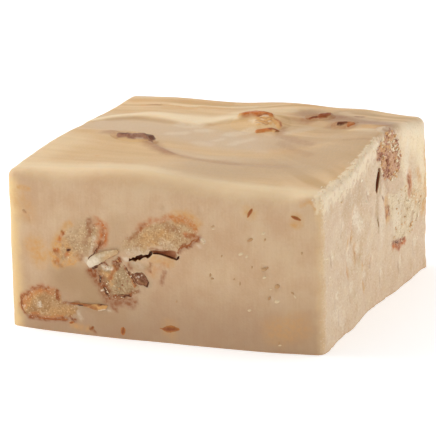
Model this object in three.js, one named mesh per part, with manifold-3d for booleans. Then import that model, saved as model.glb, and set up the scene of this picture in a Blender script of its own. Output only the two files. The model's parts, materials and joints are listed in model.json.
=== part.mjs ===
// A cut slab of maple walnut fudge: a soft poured block with a folded top skin, four knife-cut
// sides, and broken walnut kernels that show where the knife went through them or where the top
// skin left them bare.
//
// Millimetres, +Z up. The origin is the middle of the footprint, on the resting face.
// The front face looks along -Y and the right face along +X.

import * as THREE from "three";
import { mergeVertices } from "three/addons/utils/BufferGeometryUtils.js";
import Module from "manifold-3d";

const wasm = await Module();
wasm.setup();

// Driving dimensions of the slab
const WIDTH = 66.6; // left to right
const DEPTH = 64.6; // front to back
const HEIGHT = 32; // at the corners, where the top skin is lowest
const EDGE_RADIUS = 1.3; // soft rim of the top and of the four upright edges
const BELLY = { front: 1.9, back: 0.4, left: 0.4, right: -0.7 }; // how far each side stands out at its foot
const BELLY_AT_RIM = 0.2; // share of a belly that is left at the rim
const CHIP_DEPTH = 1.0; // crumbled-away rim of the right face, above its upper walnut
const FOOT_DENT = { y: -1, reach: 4, depth: 0.9 }; // dent in the foot of the right face
const FOOT_TRIM = 4; // length cut off below the resting face
const FIT_GAP = 0.3; // clearance between a walnut and the fudge round it
const KERNEL_FOLD = 0.09; // depth of the grooves of a walnut, as a share of its size

// Facets of the slab, and how finely a walnut and a flake are divided
const SLAB_FACETS = { x: 24, y: 22, z: 6 };
const RIM_CROWDING = 0.5; // how strongly the facets crowd towards the rims
const KERNEL_FACETS = 2;
const FLAKE_FACETS = 1;

// The top skin. A swell is a broad mound or hollow: its middle, its reach along X and Y, its rise.
const SWELLS = {
  frontMound: { x: -8, y: -31, reachX: 10.5, reachY: 8, rise: 1.6 },
  leftMound: { x: -34, y: -9, reachX: 11, reachY: 14, rise: 1.3 },
  backMound: { x: 5, y: 33, reachX: 7, reachY: 8, rise: 0.9 },
  farRightMound: { x: 20, y: 33, reachX: 4, reachY: 6, rise: 0.7 },
  farLeftMound: { x: -20, y: 34, reachX: 12, reachY: 8, rise: 0.5 },
  rightMound: { x: 34, y: 7, reachX: 10, reachY: 11, rise: 3.1 },
  middleHollow: { x: 1, y: -3, reachX: 15, reachY: 8, rise: -0.9 },
};

// A fold is a crest that runs from left to right through [x, y] points, as high as its rise at [x, height]
// points. Its steep side looks to the front (toFront 1) or to the back (toFront -1), and its other side
// falls away slowly.
const FOLDS = {
  backFold: {
    crest: [[-34, 4], [-29, 10.8], [-22, 14.6], [-10, 12.6], [-4, 17.5], [8, 20.2], [21, 16], [34, 11]],
    rise: [[-34, 0.5], [-24, 1.1], [-8, 1.2], [4, 0.9], [20, 0.8], [34, 0.6]],
    toFront: 1,
    steepRun: 1.4,
    slowRun: 16,
  },
  frontFold: {
    crest: [[-34, -2], [-24, 0.5], [-18, 0], [-13, -5], [-7, -10], [-1.3, -14], [6, -16], [24, -13]],
    rise: [[-34, 0], [-25, 0.4], [-16, 1.0], [-8, 0.8], [6, 0.5], [16, 0.2], [24, 0]],
    toFront: -1,
    steepRun: 1.2,
    slowRun: 9,
  },
};

// The four cut sides. place gives a point of a side from how far along it and how far up the point is,
// and turn gives the X, Y, Z turns in degrees of a thing that leans anticlockwise as the side is looked at.
const FRONT = { place: (along, up) => [along, -DEPTH / 2, up], turn: (lean) => [0, -lean, 0] };
const BACK = { place: (along, up) => [-along, DEPTH / 2, up], turn: (lean) => [0, lean, 180] };
const RIGHT = { place: (along, up) => [WIDTH / 2, along, up], turn: (lean) => [lean, 0, 90] };
const LEFT = { place: (along, up) => [-WIDTH / 2, -along, up], turn: (lean) => [-lean, 0, -90] };

// Walnuts that the knife went through. Each is a few lumps run together, given by their middle on the
// side, half length, half height and lean. depth is the half depth into the fudge.
const CUT_WALNUTS = {
  walnut_front_long: {
    side: FRONT,
    depth: 6,
    grooves: 2.2,
    lumps: [
      { along: 1.3, up: 21.5, length: 6.7, height: 3.7, lean: 12 },
      { along: -5.2, up: 19.3, length: 4.8, height: 2.4, lean: 34 },
    ],
  },
  walnut_front_core: {
    side: FRONT,
    depth: 6,
    grooves: 3.1,
    lumps: [
      { along: -9.3, up: 10.9, length: 4.7, height: 3.7, lean: -14 },
      { along: -12.2, up: 13.1, length: 3.4, height: 1.9, lean: 18 },
      { along: -6.2, up: 13.4, length: 3.0, height: 2.0, lean: -30 },
    ],
  },
  walnut_front_left: {
    side: FRONT,
    depth: 5,
    grooves: 2.7,
    lumps: [
      { along: -19.4, up: 18.7, length: 4.4, height: 4.2, lean: 20 },
      { along: -14.8, up: 20.7, length: 3.6, height: 2.6, lean: 62 },
      { along: -22.0, up: 15.6, length: 2.6, height: 2.2, lean: 40 },
    ],
  },
  walnut_front_low: {
    side: FRONT,
    depth: 5,
    grooves: 2.0,
    lumps: [
      { along: -26.6, up: 5.4, length: 5.0, height: 3.4, lean: 4 },
      { along: -22.2, up: 4.2, length: 3.4, height: 2.1, lean: -12 },
    ],
  },
  walnut_right_upper: {
    side: RIGHT,
    depth: 5,
    grooves: 3.0,
    lumps: [
      { along: 8.6, up: 29.2, length: 6.6, height: 4.4, lean: -24 },
      { along: 4.2, up: 31.4, length: 4.0, height: 2.8, lean: 10 },
      { along: 13.2, up: 26.6, length: 3.2, height: 2.2, lean: -30 },
    ],
  },
  walnut_right_lower: {
    side: RIGHT,
    depth: 6,
    grooves: 2.5,
    lumps: [
      { along: 16.6, up: 15.6, length: 8.4, height: 6.2, lean: -12 },
      { along: 23.4, up: 16.2, length: 4.6, height: 4.2, lean: 0 },
      { along: 12.2, up: 20.6, length: 4.6, height: 3.2, lean: -30 },
    ],
  },
  walnut_back_low: {
    side: BACK,
    depth: 5,
    grooves: 2.6,
    lumps: [
      { along: 10.8, up: 10.4, length: 5.4, height: 4.2, lean: 18 },
      { along: 4.6, up: 9.0, length: 3.8, height: 2.6, lean: -10 },
    ],
  },
  walnut_back_high: {
    side: BACK,
    depth: 5,
    grooves: 3.0,
    lumps: [
      { along: -18.2, up: 21.6, length: 4.6, height: 3.6, lean: -28 },
      { along: -14.0, up: 19.2, length: 3.4, height: 2.4, lean: 20 },
    ],
  },
  walnut_left_middle: {
    side: LEFT,
    depth: 5,
    grooves: 2.4,
    lumps: [
      { along: -3.6, up: 15.6, length: 5.4, height: 4.2, lean: 22 },
      { along: -9.2, up: 13.4, length: 3.6, height: 2.6, lean: 40 },
    ],
  },
};

// Thin pieces of walnut that stand a little proud of the front: a pale shaving that the knife lifted off,
// a curl of dark skin and a strip of skin. proud is how far their middle stands out of the side, and
// swing turns them in plan.
const LOOSE_PIECES = {
  walnut_shaving: { along: -13.2, up: 15.8, half: [3.9, 1.1, 1.0], lean: 28, proud: 1.5, swing: 12 },
  walnut_skin_curl: { along: -5.8, up: 12.1, half: [2.5, 1.0, 0.9], lean: -36, proud: 1.3, swing: 0 },
  walnut_skin_strip: { along: -16.4, up: 5.6, half: [4.4, 1.2, 0.8], lean: 3, proud: 1.2, swing: 0 },
};
const LOOSE_GROOVES = 2.0;

// Walnuts that the top skin left bare, by their middle in plan, half sizes, turn in plan, and how far
// their middle is sunk below the skin there.
const TOP_WALNUTS = {
  walnut_top_left: { x: -18.2, y: -2.6, half: [5.6, 3.0, 2.8], turn: -24, sunk: 1.9, grooves: 2.6 },
  walnut_top_middle: { x: 2.4, y: 15.6, half: [4.9, 6.6, 3.6], turn: 22, sunk: 1.3, grooves: 3.2 },
  walnut_top_back_left: { x: 13.2, y: 22.6, half: [2.7, 2.2, 2.0], turn: 10, sunk: 1.2, grooves: 2.4 },
  walnut_top_back_right: { x: 20.4, y: 18.4, half: [2.4, 2.6, 2.0], turn: -15, sunk: 1.2, grooves: 2.7 },
};

// Small flakes of skin pressed into the front, one with the fudge.
const FLAKES = [
  { along: 1.1, up: 2.3, length: 2.1, height: 0.8, lean: -6 },
  { along: -9.3, up: 1.5, length: 1.0, height: 0.6, lean: 80 },
  { along: 18.6, up: 27.5, length: 1.1, height: 0.5, lean: 58 },
  { along: 27.9, up: 27.2, length: 1.2, height: 0.6, lean: -28 },
];
const FLAKE_RELIEF = 0.5; // half thickness of a flake

// Splits beside the walnuts: leaf-shaped openings, long, wide and deep, that lean.
const SPLITS = [
  { side: FRONT, along: -1.4, up: 17.2, length: 12, width: 1.3, depth: 5, lean: 8 },
  { side: RIGHT, along: 1.2, up: 25.2, length: 7, width: 1.5, depth: 4, lean: 102 },
];
const LEAF_SEGMENTS = 6;

// Value at x on the smooth line through a row of [x, value] points, level beyond its ends.
function lineThrough(points, x) {
  const last = points.length - 1;
  if (x <= points[0][0]) return points[0][1];
  if (x >= points[last][0]) return points[last][1];
  const slope = (i) => {
    const [before, after] = [points[Math.max(i - 1, 0)], points[Math.min(i + 1, last)]];
    return (after[1] - before[1]) / (after[0] - before[0]);
  };
  const i = points.findIndex((point) => point[0] > x) - 1;
  const [[x0, y0], [x1, y1]] = [points[i], points[i + 1]];
  const span = x1 - x0;
  const t = (x - x0) / span;
  const keepStart = 2 * t ** 3 - 3 * t ** 2 + 1;
  const leaveStart = t ** 3 - 2 * t ** 2 + t;
  const arriveEnd = t ** 3 - t ** 2;
  const bend = span * (leaveStart * slope(i) + arriveEnd * slope(i + 1));
  return keepStart * y0 + (1 - keepStart) * y1 + bend;
}

const bell = (distance, reach) => Math.exp(-0.5 * (distance / reach) ** 2);

// How far the top skin stands above HEIGHT at a place.
function topRelief(x, y) {
  let relief = 0;
  for (const swell of Object.values(SWELLS))
    relief += swell.rise * bell(x - swell.x, swell.reachX) * bell(y - swell.y, swell.reachY);
  for (const fold of Object.values(FOLDS)) {
    const behindCrest = (y - lineThrough(fold.crest, x)) * fold.toFront;
    const climb = THREE.MathUtils.smoothstep(behindCrest, -fold.steepRun, fold.steepRun * 0.4);
    const fall = Math.exp(-Math.max(behindCrest, 0) / fold.slowRun);
    relief += lineThrough(fold.rise, x) * climb * fall;
  }
  return relief;
}

// How far a side stands out at a height, and how a belly fades towards the two ends of its side.
const standOut = (belly, z) => belly * (1 - (1 - BELLY_AT_RIM) * THREE.MathUtils.clamp(z / HEIGHT, 0, 1));
const fadeAlong = (across) => 1 - across ** 4;

// A step of the facet grid from -1 to 1, crowded towards both ends.
const crowd = (t) => (1 - RIM_CROWDING) * t + RIM_CROWDING * Math.sin((t * Math.PI) / 2);

// Moves a point of a plain box, whose top is at HEIGHT, to where it lies on the slab.
function shapeSlab(point) {
  const [halfX, halfY] = [WIDTH / 2, DEPTH / 2];
  point.x = halfX * crowd(point.x / halfX);
  point.y = halfY * crowd(point.y / halfY);

  const core = new THREE.Vector3(
    THREE.MathUtils.clamp(point.x, EDGE_RADIUS - halfX, halfX - EDGE_RADIUS),
    THREE.MathUtils.clamp(point.y, EDGE_RADIUS - halfY, halfY - EDGE_RADIUS),
    Math.min(point.z, HEIGHT - EDGE_RADIUS),
  );
  point.sub(core).setLength(EDGE_RADIUS).add(core);

  const up = THREE.MathUtils.clamp(point.z / HEIGHT, 0, 1);
  const [acrossX, acrossY] = [point.x / halfX, point.y / halfY];
  const lift = topRelief(point.x, point.y) * up;
  const chip = CHIP_DEPTH * bell(point.y - SWELLS.rightMound.y, SWELLS.rightMound.reachY) * up ** 3;
  const dent = FOOT_DENT.depth * bell(point.y - FOOT_DENT.y, FOOT_DENT.reach) * (1 - up) ** 4;

  const outX = acrossX > 0 ? standOut(BELLY.right, point.z) - chip - dent : -standOut(BELLY.left, point.z);
  const outY = acrossY > 0 ? standOut(BELLY.back, point.z) : -standOut(BELLY.front, point.z);
  point.x += outX * fadeAlong(acrossY) * Math.abs(acrossX) ** 5;
  point.y += outY * fadeAlong(acrossX) * Math.abs(acrossY) ** 5;
  point.z += lift;
  return point;
}

// A closed mesh as a solid, and a solid back as a mesh's geometry.
function solidOf(geometry) {
  const bare = geometry.clone();
  bare.deleteAttribute("normal");
  bare.deleteAttribute("uv");
  const merged = mergeVertices(bare, 1e-4);
  return new wasm.Manifold(
    new wasm.Mesh({
      numProp: 3,
      vertProperties: merged.attributes.position.array,
      triVerts: new Uint32Array(merged.index.array),
    }),
  );
}

function geometryOf(solid) {
  const { vertProperties, triVerts } = solid.getMesh();
  const geometry = new THREE.BufferGeometry();
  geometry.setAttribute("position", new THREE.BufferAttribute(vertProperties, 3));
  geometry.setIndex(new THREE.BufferAttribute(triVerts, 1));
  geometry.computeVertexNormals();
  return geometry;
}

function reshape(geometry, move) {
  const place = geometry.attributes.position;
  const point = new THREE.Vector3();
  for (let i = 0; i < place.count; i++) {
    move(point.fromBufferAttribute(place, i));
    place.setXYZ(i, point.x, point.y, point.z);
  }
  return geometry;
}

function turned(geometry, degrees) {
  const turns = new THREE.Euler(...degrees.map(THREE.MathUtils.degToRad));
  return geometry.applyMatrix4(new THREE.Matrix4().makeRotationFromEuler(turns));
}

const joined = (solids) => solids.reduce((whole, solid) => whole.add(solid));
const cutBy = (solid, cutters) => cutters.reduce((rest, cutter) => rest.subtract(cutter), solid);
const largestBody = (solid) => solid.decompose().sort((a, b) => b.volume() - a.volume())[0];

// The slab before any walnut is let into it: a shaped box with its underside cut off level.
function wholeSlab() {
  const { x, y, z } = SLAB_FACETS;
  const box = new THREE.BoxGeometry(WIDTH, DEPTH, HEIGHT + FOOT_TRIM, x, y, z);
  box.translate(0, 0, (HEIGHT - FOOT_TRIM) / 2);
  const floor = new THREE.BoxGeometry(2 * WIDTH, 2 * DEPTH, 2 * FOOT_TRIM);
  floor.translate(0, 0, -FOOT_TRIM);
  return solidOf(reshape(box, shapeSlab)).subtract(solidOf(floor));
}

// A lump of walnut: an egg shape folded by grooves, then turned and set in place. half is its half
// length, half depth and half height before it turns, and grow widens it all round.
function lumpSolid({ at, half, turn, grooves, facets }, grow) {
  const lump = reshape(new THREE.IcosahedronGeometry(1, facets), (point) => {
    const along = Math.sin(grooves * point.x + 1.3) * Math.cos(grooves * point.z + 0.6);
    const across = 0.5 * Math.sin(1.7 * grooves * point.y);
    return point.multiplyScalar(1 + KERNEL_FOLD * (along + across));
  });
  lump.scale(...half.map((size) => size + grow));
  return solidOf(turned(lump, turn).translate(...at));
}

const kernel = (lumps, grow = 0) => joined(lumps.map((lump) => lumpSolid(lump, grow)));

function cutLumps({ side, depth, grooves, lumps }) {
  return lumps.map(({ along, up, length, height, lean }) => ({
    at: side.place(along, up),
    half: [length, depth, height],
    turn: side.turn(lean),
    grooves,
    facets: KERNEL_FACETS,
  }));
}

function looseLump({ along, up, half, lean, proud, swing }) {
  const [x, y, z] = FRONT.place(along, up);
  const [turnX, turnY] = FRONT.turn(lean);
  const turn = [turnX, turnY, swing];
  return { at: [x, y - proud, z], half, turn, grooves: LOOSE_GROOVES, facets: KERNEL_FACETS };
}

function topLump({ x, y, half, turn, sunk, grooves }) {
  const at = [x, y, HEIGHT + topRelief(x, y) - sunk];
  return { at, half, turn: [0, 0, turn], grooves, facets: KERNEL_FACETS };
}

function flakeSolid({ along, up, length, height, lean }) {
  const [x, y, z] = FRONT.place(along, up);
  const out = standOut(BELLY.front, z) * fadeAlong(x / (WIDTH / 2));
  const flake = new THREE.IcosahedronGeometry(1, FLAKE_FACETS).scale(length, FLAKE_RELIEF, height);
  return solidOf(turned(flake, FRONT.turn(lean)).translate(x, y - out, z));
}

function splitSolid({ side, along, up, length, width, depth, lean }) {
  const leaf = new THREE.Shape();
  leaf.moveTo(-length / 2, 0);
  leaf.quadraticCurveTo(0, width, length / 2, 0);
  leaf.quadraticCurveTo(0, -width, -length / 2, 0);
  const through = { depth: 2 * depth, bevelEnabled: false, curveSegments: LEAF_SEGMENTS };
  const blade = new THREE.ExtrudeGeometry(leaf, through).translate(0, 0, -depth).rotateX(Math.PI / 2);
  return solidOf(turned(blade, side.turn(lean)).translate(...side.place(along, up)));
}

// Finishes, from the colours that the cut and poured surfaces show
const FUDGE = new THREE.MeshStandardMaterial({ color: 0xd3b38b, roughness: 0.5, metalness: 0 });
const WALNUT = new THREE.MeshStandardMaterial({ color: 0xa87c52, roughness: 0.7, metalness: 0 });
const PALE_WALNUT = new THREE.MeshStandardMaterial({ color: 0xcdbb9b, roughness: 0.7, metalness: 0 });
const DARK_SKIN = new THREE.MeshStandardMaterial({ color: 0x8a4f2e, roughness: 0.6, metalness: 0 });

// Walnuts go in one by one: each keeps clear of those before it, and the slab gives way to them all.
const slab = wholeSlab();
const splits = SPLITS.map(splitSolid);
const pockets = [];
const walnuts = new Map();

function setIn(name, lumps, material, trim = (piece) => piece) {
  const piece = trim(cutBy(kernel(lumps), [...pockets, ...splits]));
  walnuts.set(name, { solid: largestBody(piece), material });
  pockets.push(kernel(lumps, FIT_GAP));
}

for (const [name, piece] of Object.entries(LOOSE_PIECES))
  setIn(name, [looseLump(piece)], name === "walnut_shaving" ? PALE_WALNUT : DARK_SKIN);
for (const [name, walnut] of Object.entries(CUT_WALNUTS)) {
  const material = name === "walnut_right_lower" ? PALE_WALNUT : WALNUT;
  setIn(name, cutLumps(walnut), material, (piece) => piece.intersect(slab));
}
for (const [name, walnut] of Object.entries(TOP_WALNUTS)) setIn(name, [topLump(walnut)], WALNUT);

const flakedSlab = joined([slab, ...FLAKES.map(flakeSolid)]);
const fudge = largestBody(cutBy(flakedSlab, [...pockets, ...splits]));

function named(name, solid, material) {
  const mesh = new THREE.Mesh(geometryOf(solid), material);
  mesh.name = name;
  return mesh;
}

const part = new THREE.Group();
part.add(named("fudge_block", fudge, FUDGE));
for (const [name, { solid, material }] of walnuts) part.add(named(name, solid, material));

export default part;
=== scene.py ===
import json
import math

import bmesh
import bpy
import numpy as np
from mathutils import Matrix, Vector


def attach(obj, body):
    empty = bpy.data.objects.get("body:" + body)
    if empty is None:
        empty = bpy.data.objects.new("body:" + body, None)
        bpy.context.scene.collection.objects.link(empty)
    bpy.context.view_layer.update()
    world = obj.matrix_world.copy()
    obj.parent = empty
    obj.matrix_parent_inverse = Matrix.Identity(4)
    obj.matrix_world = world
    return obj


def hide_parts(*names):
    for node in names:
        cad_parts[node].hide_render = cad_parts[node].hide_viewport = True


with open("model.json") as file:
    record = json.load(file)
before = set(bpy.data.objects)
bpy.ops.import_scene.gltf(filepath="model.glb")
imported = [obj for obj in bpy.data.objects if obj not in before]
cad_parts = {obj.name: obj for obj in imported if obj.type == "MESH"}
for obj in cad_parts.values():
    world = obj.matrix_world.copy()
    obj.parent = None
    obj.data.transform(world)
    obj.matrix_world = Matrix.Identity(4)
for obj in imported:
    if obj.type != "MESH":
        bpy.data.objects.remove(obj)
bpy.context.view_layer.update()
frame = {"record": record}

# Sizes of the slab in millimetres, as in the part
MM = 0.001
WIDTH = 66.6
DEPTH = 64.6
HEIGHT = 32.0
RIM_RADIUS = 1.6
FRONT_RIM_RADIUS = 3.2
RIGHT_RIM_RADIUS = 0.9
FAR_RIM_RADIUS = 2.0
# Where the rims' own radii take over, from none to full: up the sides, in from the front, the left and the
# right, and along Y where the right rim turns soft
RIM_UP = (18, 27)
FRONT_RIM_IN = (9, 4)
LEFT_RIM_IN = (0, 10)
RIGHT_RIM_IN = (8, 2)
FAR_RIM_ALONG = (9, 16)
# How far each side swells out at its foot, the share of that left at its rim, and the right side's chip and
# dent
BELLY = {"front": 1.9, "back": 0.4, "left": 0.4, "right": -0.7}
BELLY_AT_RIM = 0.2
CHIP_DEPTH = 1.0
FOOT_DENT = {"y": -1.0, "reach": 4.0, "depth": 0.9}

# Top skin: swells as (x, y, reach along X, reach along Y, rise)
RIGHT_MOUND = (34.0, 7.0, 10.0, 11.0, 3.1)
SWELLS = [
    (-8.0, -31.0, 10.5, 8.0, 1.6),
    (-34.0, -9.0, 11.0, 14.0, 1.3),
    (5.0, 33.0, 7.0, 8.0, 0.9),
    (20.0, 33.0, 4.0, 6.0, 0.7),
    (-20.0, 34.0, 12.0, 8.0, 0.5),
    (1.0, -3.0, 15.0, 8.0, -0.9),
    RIGHT_MOUND,
]
# Folds of the skin: crest and rise along X, the side they are steep on, the widths of the steep and the slow
# side, and how wide the cream, partly painted highlight, lies behind a crest
BACK_FOLD = {
    "crest": [(-34, 4), (-29, 10.8), (-22, 14.6), (-10, 12.6), (-4, 17.5), (8, 20.2), (21, 16), (34, 11)],
    "rise": [
        (-34, 0.1), (-28, 0.5), (-22, 0.8), (-16, 0.7), (-9, 0.55),
        (-3, 0.8), (4, 0.9), (20, 0.7), (34, 0.4)],
    "to_front": 1,
    "steep_run": 1.6,
    "slow_run": 16.0,
    "cream": [
        (-34, 1.5), (-30, 2.8), (-23, 3.8), (-18, 5.2), (-12, 8.6),
        (-8, 7.6), (-4, 4.0), (4, 1.5), (12, 0.5)],
}
FRONT_FOLD = {
    "crest": [(-34, -2), (-24, 0.5), (-18, 0), (-13, -5), (-7, -10), (-1.3, -14), (6, -16), (24, -13)],
    "rise": [(-34, 0), (-25, 0.4), (-16, 1.0), (-8, 0.8), (6, 0.5), (16, 0.2), (24, 0)],
    "to_front": -1,
    "steep_run": 1.8,
    "slow_run": 9.0,
}

# Where the slab is seen from, in degrees round and above it, and the level and upright ways of that view
AROUND = math.radians(21.691)
ABOVE = math.radians(15.772)
LEVEL = Vector((math.cos(AROUND), math.sin(AROUND), 0.0))
UPRIGHT = Vector((-math.sin(AROUND) * math.sin(ABOVE), math.cos(AROUND) * math.sin(ABOVE), math.cos(ABOVE)))

# Facets of the slab: cuts along X, Y and Z, each axis cut twice over
SLAB_CUTS = ((13, 11), (17, 8), (9, 7))
# How far apart points lie along the other pieces' outlines, and how fine those pieces are made
KERNEL_SPACING = 0.5
THIN_SPACING = 0.3
SPLIT_SPACING = 0.25
KERNEL_VOXEL = 0.18
THIN_VOXEL = 0.11
# Edges that turn more than this stay sharp
FUDGE_CREASE = math.radians(55)
PIECE_CREASE = math.radians(40)
# How deep the fudge is sunk at a kernel's edge, further in, and under the kernels on top
LIP_BED = 0.1
KERNEL_BED = 1.0
TOP_BED = 0.6
# Unevenness: cells of its lattice along each axis, and the first seed of each draw
CLOUD_CELLS = 32
SIDE_SEED = {"front": 11, "back": 12, "right": 13, "left": 14}
SEED = {
    "drag": 20, "crumbling": 30, "skin": 41, "rim": 51, "stroke_edges": 61, "kernel": 81, "thin_piece": 91,
    "top_kernel": 101, "bare_edges": 105, "skin_bit": 111, "crumb": 121, "walnut_crumbs": 131,
    "crumb_tones": 137, "level_streaks": 141, "fanned_streaks": 143, "rim_crumbs": 151, "rim_patches": 153,
}

# Outlines of the kernels on the cut sides, as (along, up) on their side
OUTLINES = {
    "walnut_front_long": ("front", [
        (-8.9, 18.6), (-7.6, 20.9), (-3.6, 23.8), (1.5, 25.3), (6.2, 25.5), (7.9, 22.2),
        (5.2, 20.0), (3.4, 19.0), (0.8, 18.7), (-2.2, 19.0), (-3.4, 17.9), (-6.6, 16.9)]),
    "walnut_front_core": ("front", [
        (-14.3, 14.0), (-12.0, 14.9), (-9.3, 16.6), (-7.4, 14.7), (-5.2, 13.2), (-4.8, 11.0),
        (-5.2, 9.2), (-8.0, 8.1), (-11.2, 7.8), (-13.2, 9.2), (-13.8, 11.6)]),
    "walnut_front_left": ("front", [
        (-23.6, 13.9), (-23.2, 17.0), (-21.8, 20.6), (-18.8, 22.8), (-15.0, 23.8), (-11.6, 22.8),
        (-12.0, 19.6), (-13.2, 17.2), (-16.5, 15.4), (-20.0, 13.8)]),
    "walnut_front_low": ("front", [
        (-31.1, 4.6), (-30.0, 6.6), (-27.5, 8.6), (-24.0, 9.3), (-22.0, 8.6), (-21.0, 6.5), (-18.6, 6.1),
        (-17.6, 5.2), (-18.8, 3.4), (-21.0, 2.6), (-25.2, 2.4), (-29.0, 2.1), (-30.5, 3.1)]),
    "walnut_right_upper": ("right", [
        (2.2, 32.2), (4.6, 33.4), (7.2, 34.4), (9.8, 34.8), (13.0, 33.8), (15.4, 31.0), (17.0, 28.0),
        (16.4, 25.4), (12.4, 23.8), (7.4, 24.8), (4.6, 27.2), (3.8, 30.0)]),
    "walnut_right_lower": ("right", [
        (7.6, 22.2), (11.8, 21.2), (19.4, 21.6), (26.0, 20.8), (30.3, 18.4), (30.3, 14.0),
        (26.0, 11.8), (20.3, 9.1), (15.2, 9.4), (11.2, 11.6), (9.6, 15.4), (8.2, 20.0)]),
    "walnut_back_low": ("back", [
        (1.2, 9.0), (4.0, 11.6), (8.5, 14.2), (13.5, 14.0), (15.8, 11.5),
        (13.5, 7.6), (9.0, 6.4), (4.5, 6.6)]),
    "walnut_back_high": ("back", [
        (-22.6, 23.6), (-19.5, 25.2), (-15.6, 23.0), (-11.4, 21.0), (-11.2, 18.4), (-14.5, 17.0),
        (-18.6, 18.2), (-22.0, 20.6)]),
    "walnut_left_middle": ("left", [
        (-12.2, 11.2), (-11.4, 14.4), (-7.5, 16.6), (-3.8, 19.6), (0.8, 19.4), (1.4, 15.8),
        (-2.2, 12.4), (-7.2, 11.0)]),
}
THIN_OUTLINES = {
    "walnut_shaving": ("front", [
        (-15.6, 15.0), (-15.2, 15.9), (-14.7, 16.4), (-13.6, 17.1), (-12.4, 17.6), (-9.4, 18.2), (-8.9, 17.8),
        (-9.4, 17.1), (-10.9, 16.2), (-11.5, 16.1), (-12.0, 15.4), (-12.7, 15.35), (-13.2, 14.75),
        (-13.9, 14.75), (-14.4, 14.2), (-15.1, 14.1)]),
    "walnut_skin_curl": ("front", [
        (-6.7, 13.6), (-5.9, 14.1), (-5.0, 13.8), (-4.1, 13.9), (-3.3, 13.1), (-2.7, 12.0), (-3.0, 10.9),
        (-3.8, 11.3), (-4.5, 11.2), (-5.6, 11.5), (-6.2, 12.5)]),
    "walnut_skin_strip": ("front", [
        (-20.5, 6.1), (-19.0, 6.5), (-15.4, 6.5), (-13.4, 6.7), (-11.4, 6.5), (-12.0, 5.6), (-13.6, 5.2),
        (-15.4, 5.6), (-17.2, 5.9)]),
}

# Splits in the fudge: side, depth, how deep they turn dark with painted shade, and their outline on that side
SPLITS = {
    "left_gap": ("front", 1.5, 0.9, [
        (-7.1, 15.8), (-7.0, 16.6), (-6.5, 16.4), (-6.1, 16.9), (-5.7, 16.7), (-5.4, 17.3), (-4.9, 17.2),
        (-4.5, 17.75), (-3.9, 17.35), (-3.3, 17.6), (-2.8, 17.6), (-2.5, 18.4), (-2.0, 18.3), (-1.9, 17.7),
        (-2.4, 17.2), (-2.9, 16.75), (-3.4, 17.05), (-4.1, 16.75), (-4.6, 16.2), (-5.2, 16.35), (-5.6, 15.85),
        (-6.3, 16.15)]),
    "skin_groove": ("front", 0.45, 9.0, [
        (-2.5, 18.5), (-1.3, 18.65), (0.1, 18.55), (1.5, 18.8), (3.1, 18.8), (3.4, 17.9), (3.1, 17.1),
        (1.8, 17.4), (0.5, 17.75), (-0.6, 17.95), (-2.0, 17.9)]),
    "right_gap": ("front", 0.9, 0.6, [
        (-2.0, 18.05), (-0.6, 18.0), (0.5, 17.8), (1.8, 17.5), (3.1, 17.2), (3.5, 17.9), (3.9, 17.9),
        (3.8, 17.3), (3.2, 16.9), (1.7, 17.25), (0.5, 17.6), (-0.6, 17.8), (-2.0, 17.8)]),
    "right_split": ("right", 4.0, 0.1, [
        (4.2, 28.3), (3.0, 28.7), (1.6, 27.6), (0.3, 25.8), (0.1, 24.6), (0.9, 23.7), (2.2, 24.6),
        (3.4, 26.0), (4.0, 27.3)]),
    "right_hairline": ("right", 2.0, 0.3, [
        (1.5, 19.2), (1.1, 18.2), (1.5, 16.8), (2.1, 16.2), (2.2, 16.9), (1.8, 18.0)]),
}
# How near its outline a split's inner side lies, and the painted shade on the groove's edges, as (path,
# half width, strength)
SPLIT_REACH = {"front": 0.12, "right": 0.6}
GROOVE_EDGE_SHADE = [
    ([(-2.6, 18.4), (-1.3, 18.55), (0.1, 18.45), (1.4, 18.65)], 0.45, 0.8),
    ([(3.3, 18.2), (3.4, 17.4)], 0.4, 0.5)]


def smooth_step(value, low, high):
    share = np.clip((value - low) / (high - low), 0.0, 1.0)
    return share * share * (3.0 - 2.0 * share)


def bell(distance, reach):
    return np.exp(-0.5 * (distance / reach) ** 2)


def line_through(knots, x):
    """Value at x on the smooth line through (x, value) knots, level beyond its ends."""
    at, value = np.array(knots, float).T
    last = len(at) - 1
    before = np.maximum(np.arange(last + 1) - 1, 0)
    after = np.minimum(np.arange(last + 1) + 1, last)
    slope = (value[after] - value[before]) / (at[after] - at[before])
    x = np.clip(x, at[0], at[-1])
    i = np.clip(np.searchsorted(at, x, "right") - 1, 0, last - 1)
    span = at[i + 1] - at[i]
    t = (x - at[i]) / span
    keep = 2 * t**3 - 3 * t**2 + 1
    bend = span * ((t**3 - 2 * t**2 + t) * slope[i] + (t**3 - t**2) * slope[i + 1])
    return keep * value[i] + (1 - keep) * value[i + 1] + bend


def cloud(points, size, seed):
    """Smooth lumps from -1 to 1, about as large as size, which is one length or one for each axis."""
    lattice = np.random.default_rng(seed).uniform(-1.0, 1.0, (CLOUD_CELLS,) * 3)
    place = points / np.asarray(size, float)
    corner = np.floor(place).astype(int)
    share = smooth_step(place - corner, 0.0, 1.0)
    total = np.zeros(len(points))
    for step in np.ndindex(2, 2, 2):
        weight = np.where(np.array(step, bool), share, 1.0 - share).prod(axis=1)
        total += weight * lattice[tuple(((corner + step) % CLOUD_CELLS).T)]
    return total


def crumble(points, sizes, seed):
    """Lumps of several sizes on one another, the smaller the lower."""
    return sum(size * cloud(points, size, seed + k) for k, size in enumerate(sizes)) / sum(sizes)


def flat_points(along, up):
    return np.stack([along, up, np.zeros_like(along)], axis=1)


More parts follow.
